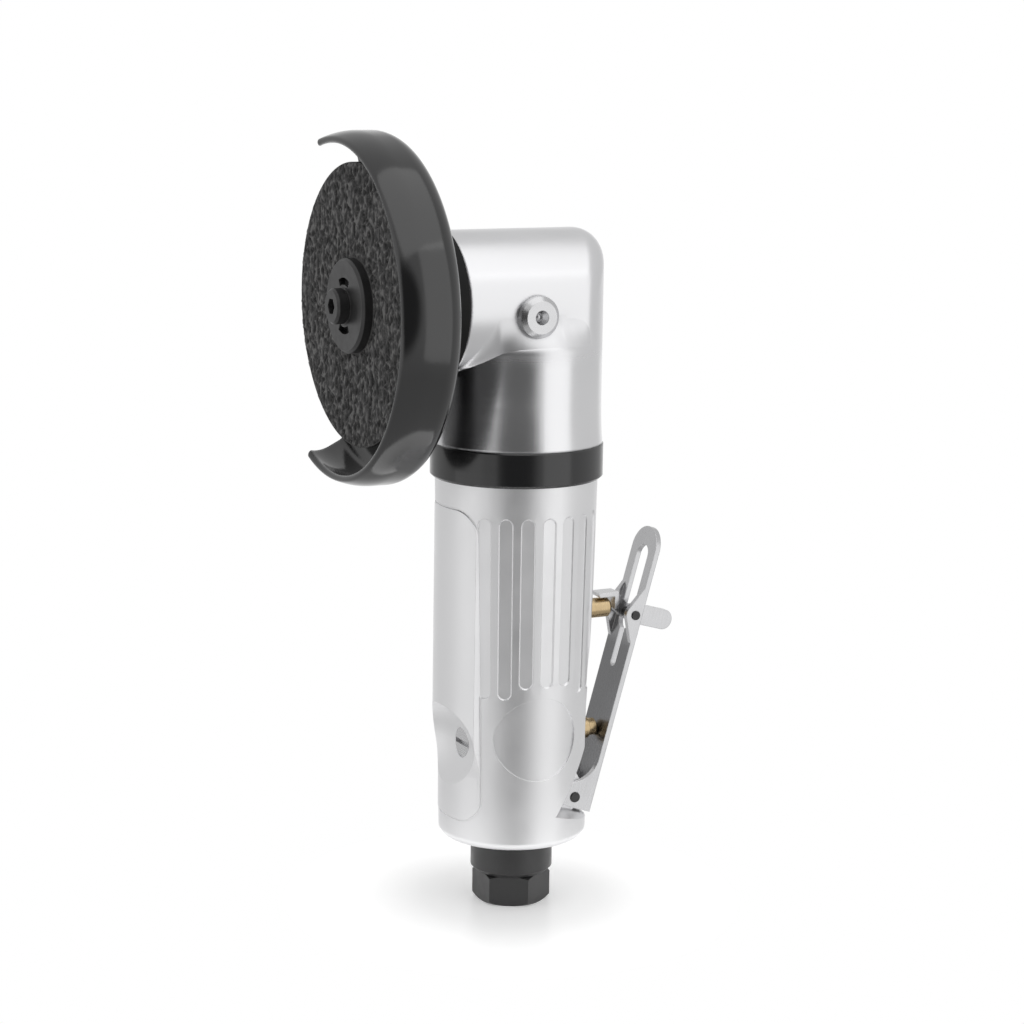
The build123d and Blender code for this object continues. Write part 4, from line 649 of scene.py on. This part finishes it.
def add_floor():
    """Round pale floor that keeps the object's shadow."""
    material, tree, shader = new_material("floor", 0.0)
    shader.inputs["Base Color"].default_value = (0.9, 0.9, 0.9, 1)
    shader.inputs["Roughness"].default_value = 0.35
    shader.inputs["Emission Color"].default_value = (1, 1, 1, 1)
    path = node(tree, "ShaderNodeLightPath")
    seen = total(tree, path.outputs["Is Camera Ray"], path.outputs["Is Glossy Ray"], "MAXIMUM")
    seen = total(tree, seen, path.outputs["Is Transmission Ray"], "MAXIMUM")
    place = node(tree, "ShaderNodeTexCoord").outputs["Object"]
    away = node(tree, "ShaderNodeVectorMath", (place,), operation="LENGTH").outputs["Value"]
    glow = total(tree, seen, remap(tree, away, 0.025, 0.062, 0.28, 0.6), "MULTIPLY")
    tree.links.new(glow, shader.inputs["Emission Strength"])
    mesh = bpy.data.meshes.new("floor")
    shell = bmesh.new()
    bmesh.ops.create_circle(shell, cap_ends=True, segments=96, radius=FLOOR_RADIUS)
    shell.to_mesh(mesh)
    shell.free()
    mesh.materials.append(material)
    floor = bpy.data.objects.new("floor", mesh)
    scene.collection.objects.link(floor)


def add_panel(name, place, aim, width, height, radiance):
    """Soft panel light that faces a point."""
    data = bpy.data.lights.new(name, "AREA")
    data.shape = "RECTANGLE"
    data.size = width
    data.size_y = height
    data.energy = radiance * math.pi * width * height
    panel = bpy.data.objects.new(name, data)
    scene.collection.objects.link(panel)
    panel.location = place
    panel.rotation_euler = (aim - place).to_track_quat("-Z", "Y").to_euler()
    panel.visible_camera = False


def around(degrees):
    """Level direction at an angle from the camera, to the right."""
    angle = math.radians(degrees)
    return front * math.cos(angle) + right * math.sin(angle)


def add_world():
    """White where the camera looks, a pale room around, darker where the camera stands."""
    world = bpy.data.worlds.new("studio")
    scene.world = world
    world.use_nodes = True
    tree = world.node_tree
    sky = tree.nodes["Background"]
    ray = node(tree, "ShaderNodeTexCoord").outputs["Generated"]
    gap = (around(2) + Vector((0, 0, 0.1))).normalized()
    near = node(tree, "ShaderNodeVectorMath", (ray, gap), operation="DOT_PRODUCT").outputs["Value"]
    room = node(tree, "ShaderNodeMapRange", (near, 0.83, 0.93, 0.6, 0.1), interpolation_type="SMOOTHSTEP")
    away = node(tree, "ShaderNodeVectorMath", (ray, -back), operation="DOT_PRODUCT").outputs["Value"]
    room = total(tree, room.outputs[0], remap(tree, away, 0.8, 0.97, 0.0, 0.34))
    height = node(tree, "ShaderNodeSeparateXYZ", (ray,)).outputs["Z"]
    room = total(tree, room, remap(tree, height, -0.3, -0.6, 0.0, -0.12))
    beside = node(tree, "ShaderNodeVectorMath", (ray, around(-24)), operation="DOT_PRODUCT").outputs["Value"]
    shade = remap(tree, beside, 0.9, 0.95, 0.0, 0.48)
    above = remap(tree, height, -0.165, -0.135, 0.0, 1.0)
    card = total(tree, shade, above, "MULTIPLY")
    room = total(tree, room, card, "SUBTRACT")
    room = total(tree, room, 0.1, "MAXIMUM")
    seen = node(tree, "ShaderNodeLightPath").outputs["Is Camera Ray"]
    tree.links.new(remap(tree, seen, 0.0, 1.0, room, 1.0), sky.inputs["Strength"])
    sky.inputs["Color"].default_value = (1, 1, 1, 1)


middle = Vector((0, 0, 0.15))
add_floor()
level = Vector((0, 0, 0.42))
add_panel("right_panel", around(56) * 1.3 + level, level, 0.95, 1.8, 0.45)
add_panel("left_panel", around(-56) * 1.3 + level, level, 1.6, 1.8, 0.25)
add_panel("top_panel", Vector((0, 0, 1.4)) + front * 0.35 + right * 0.3, middle, 1.5, 1.5, 0.55)
add_world()
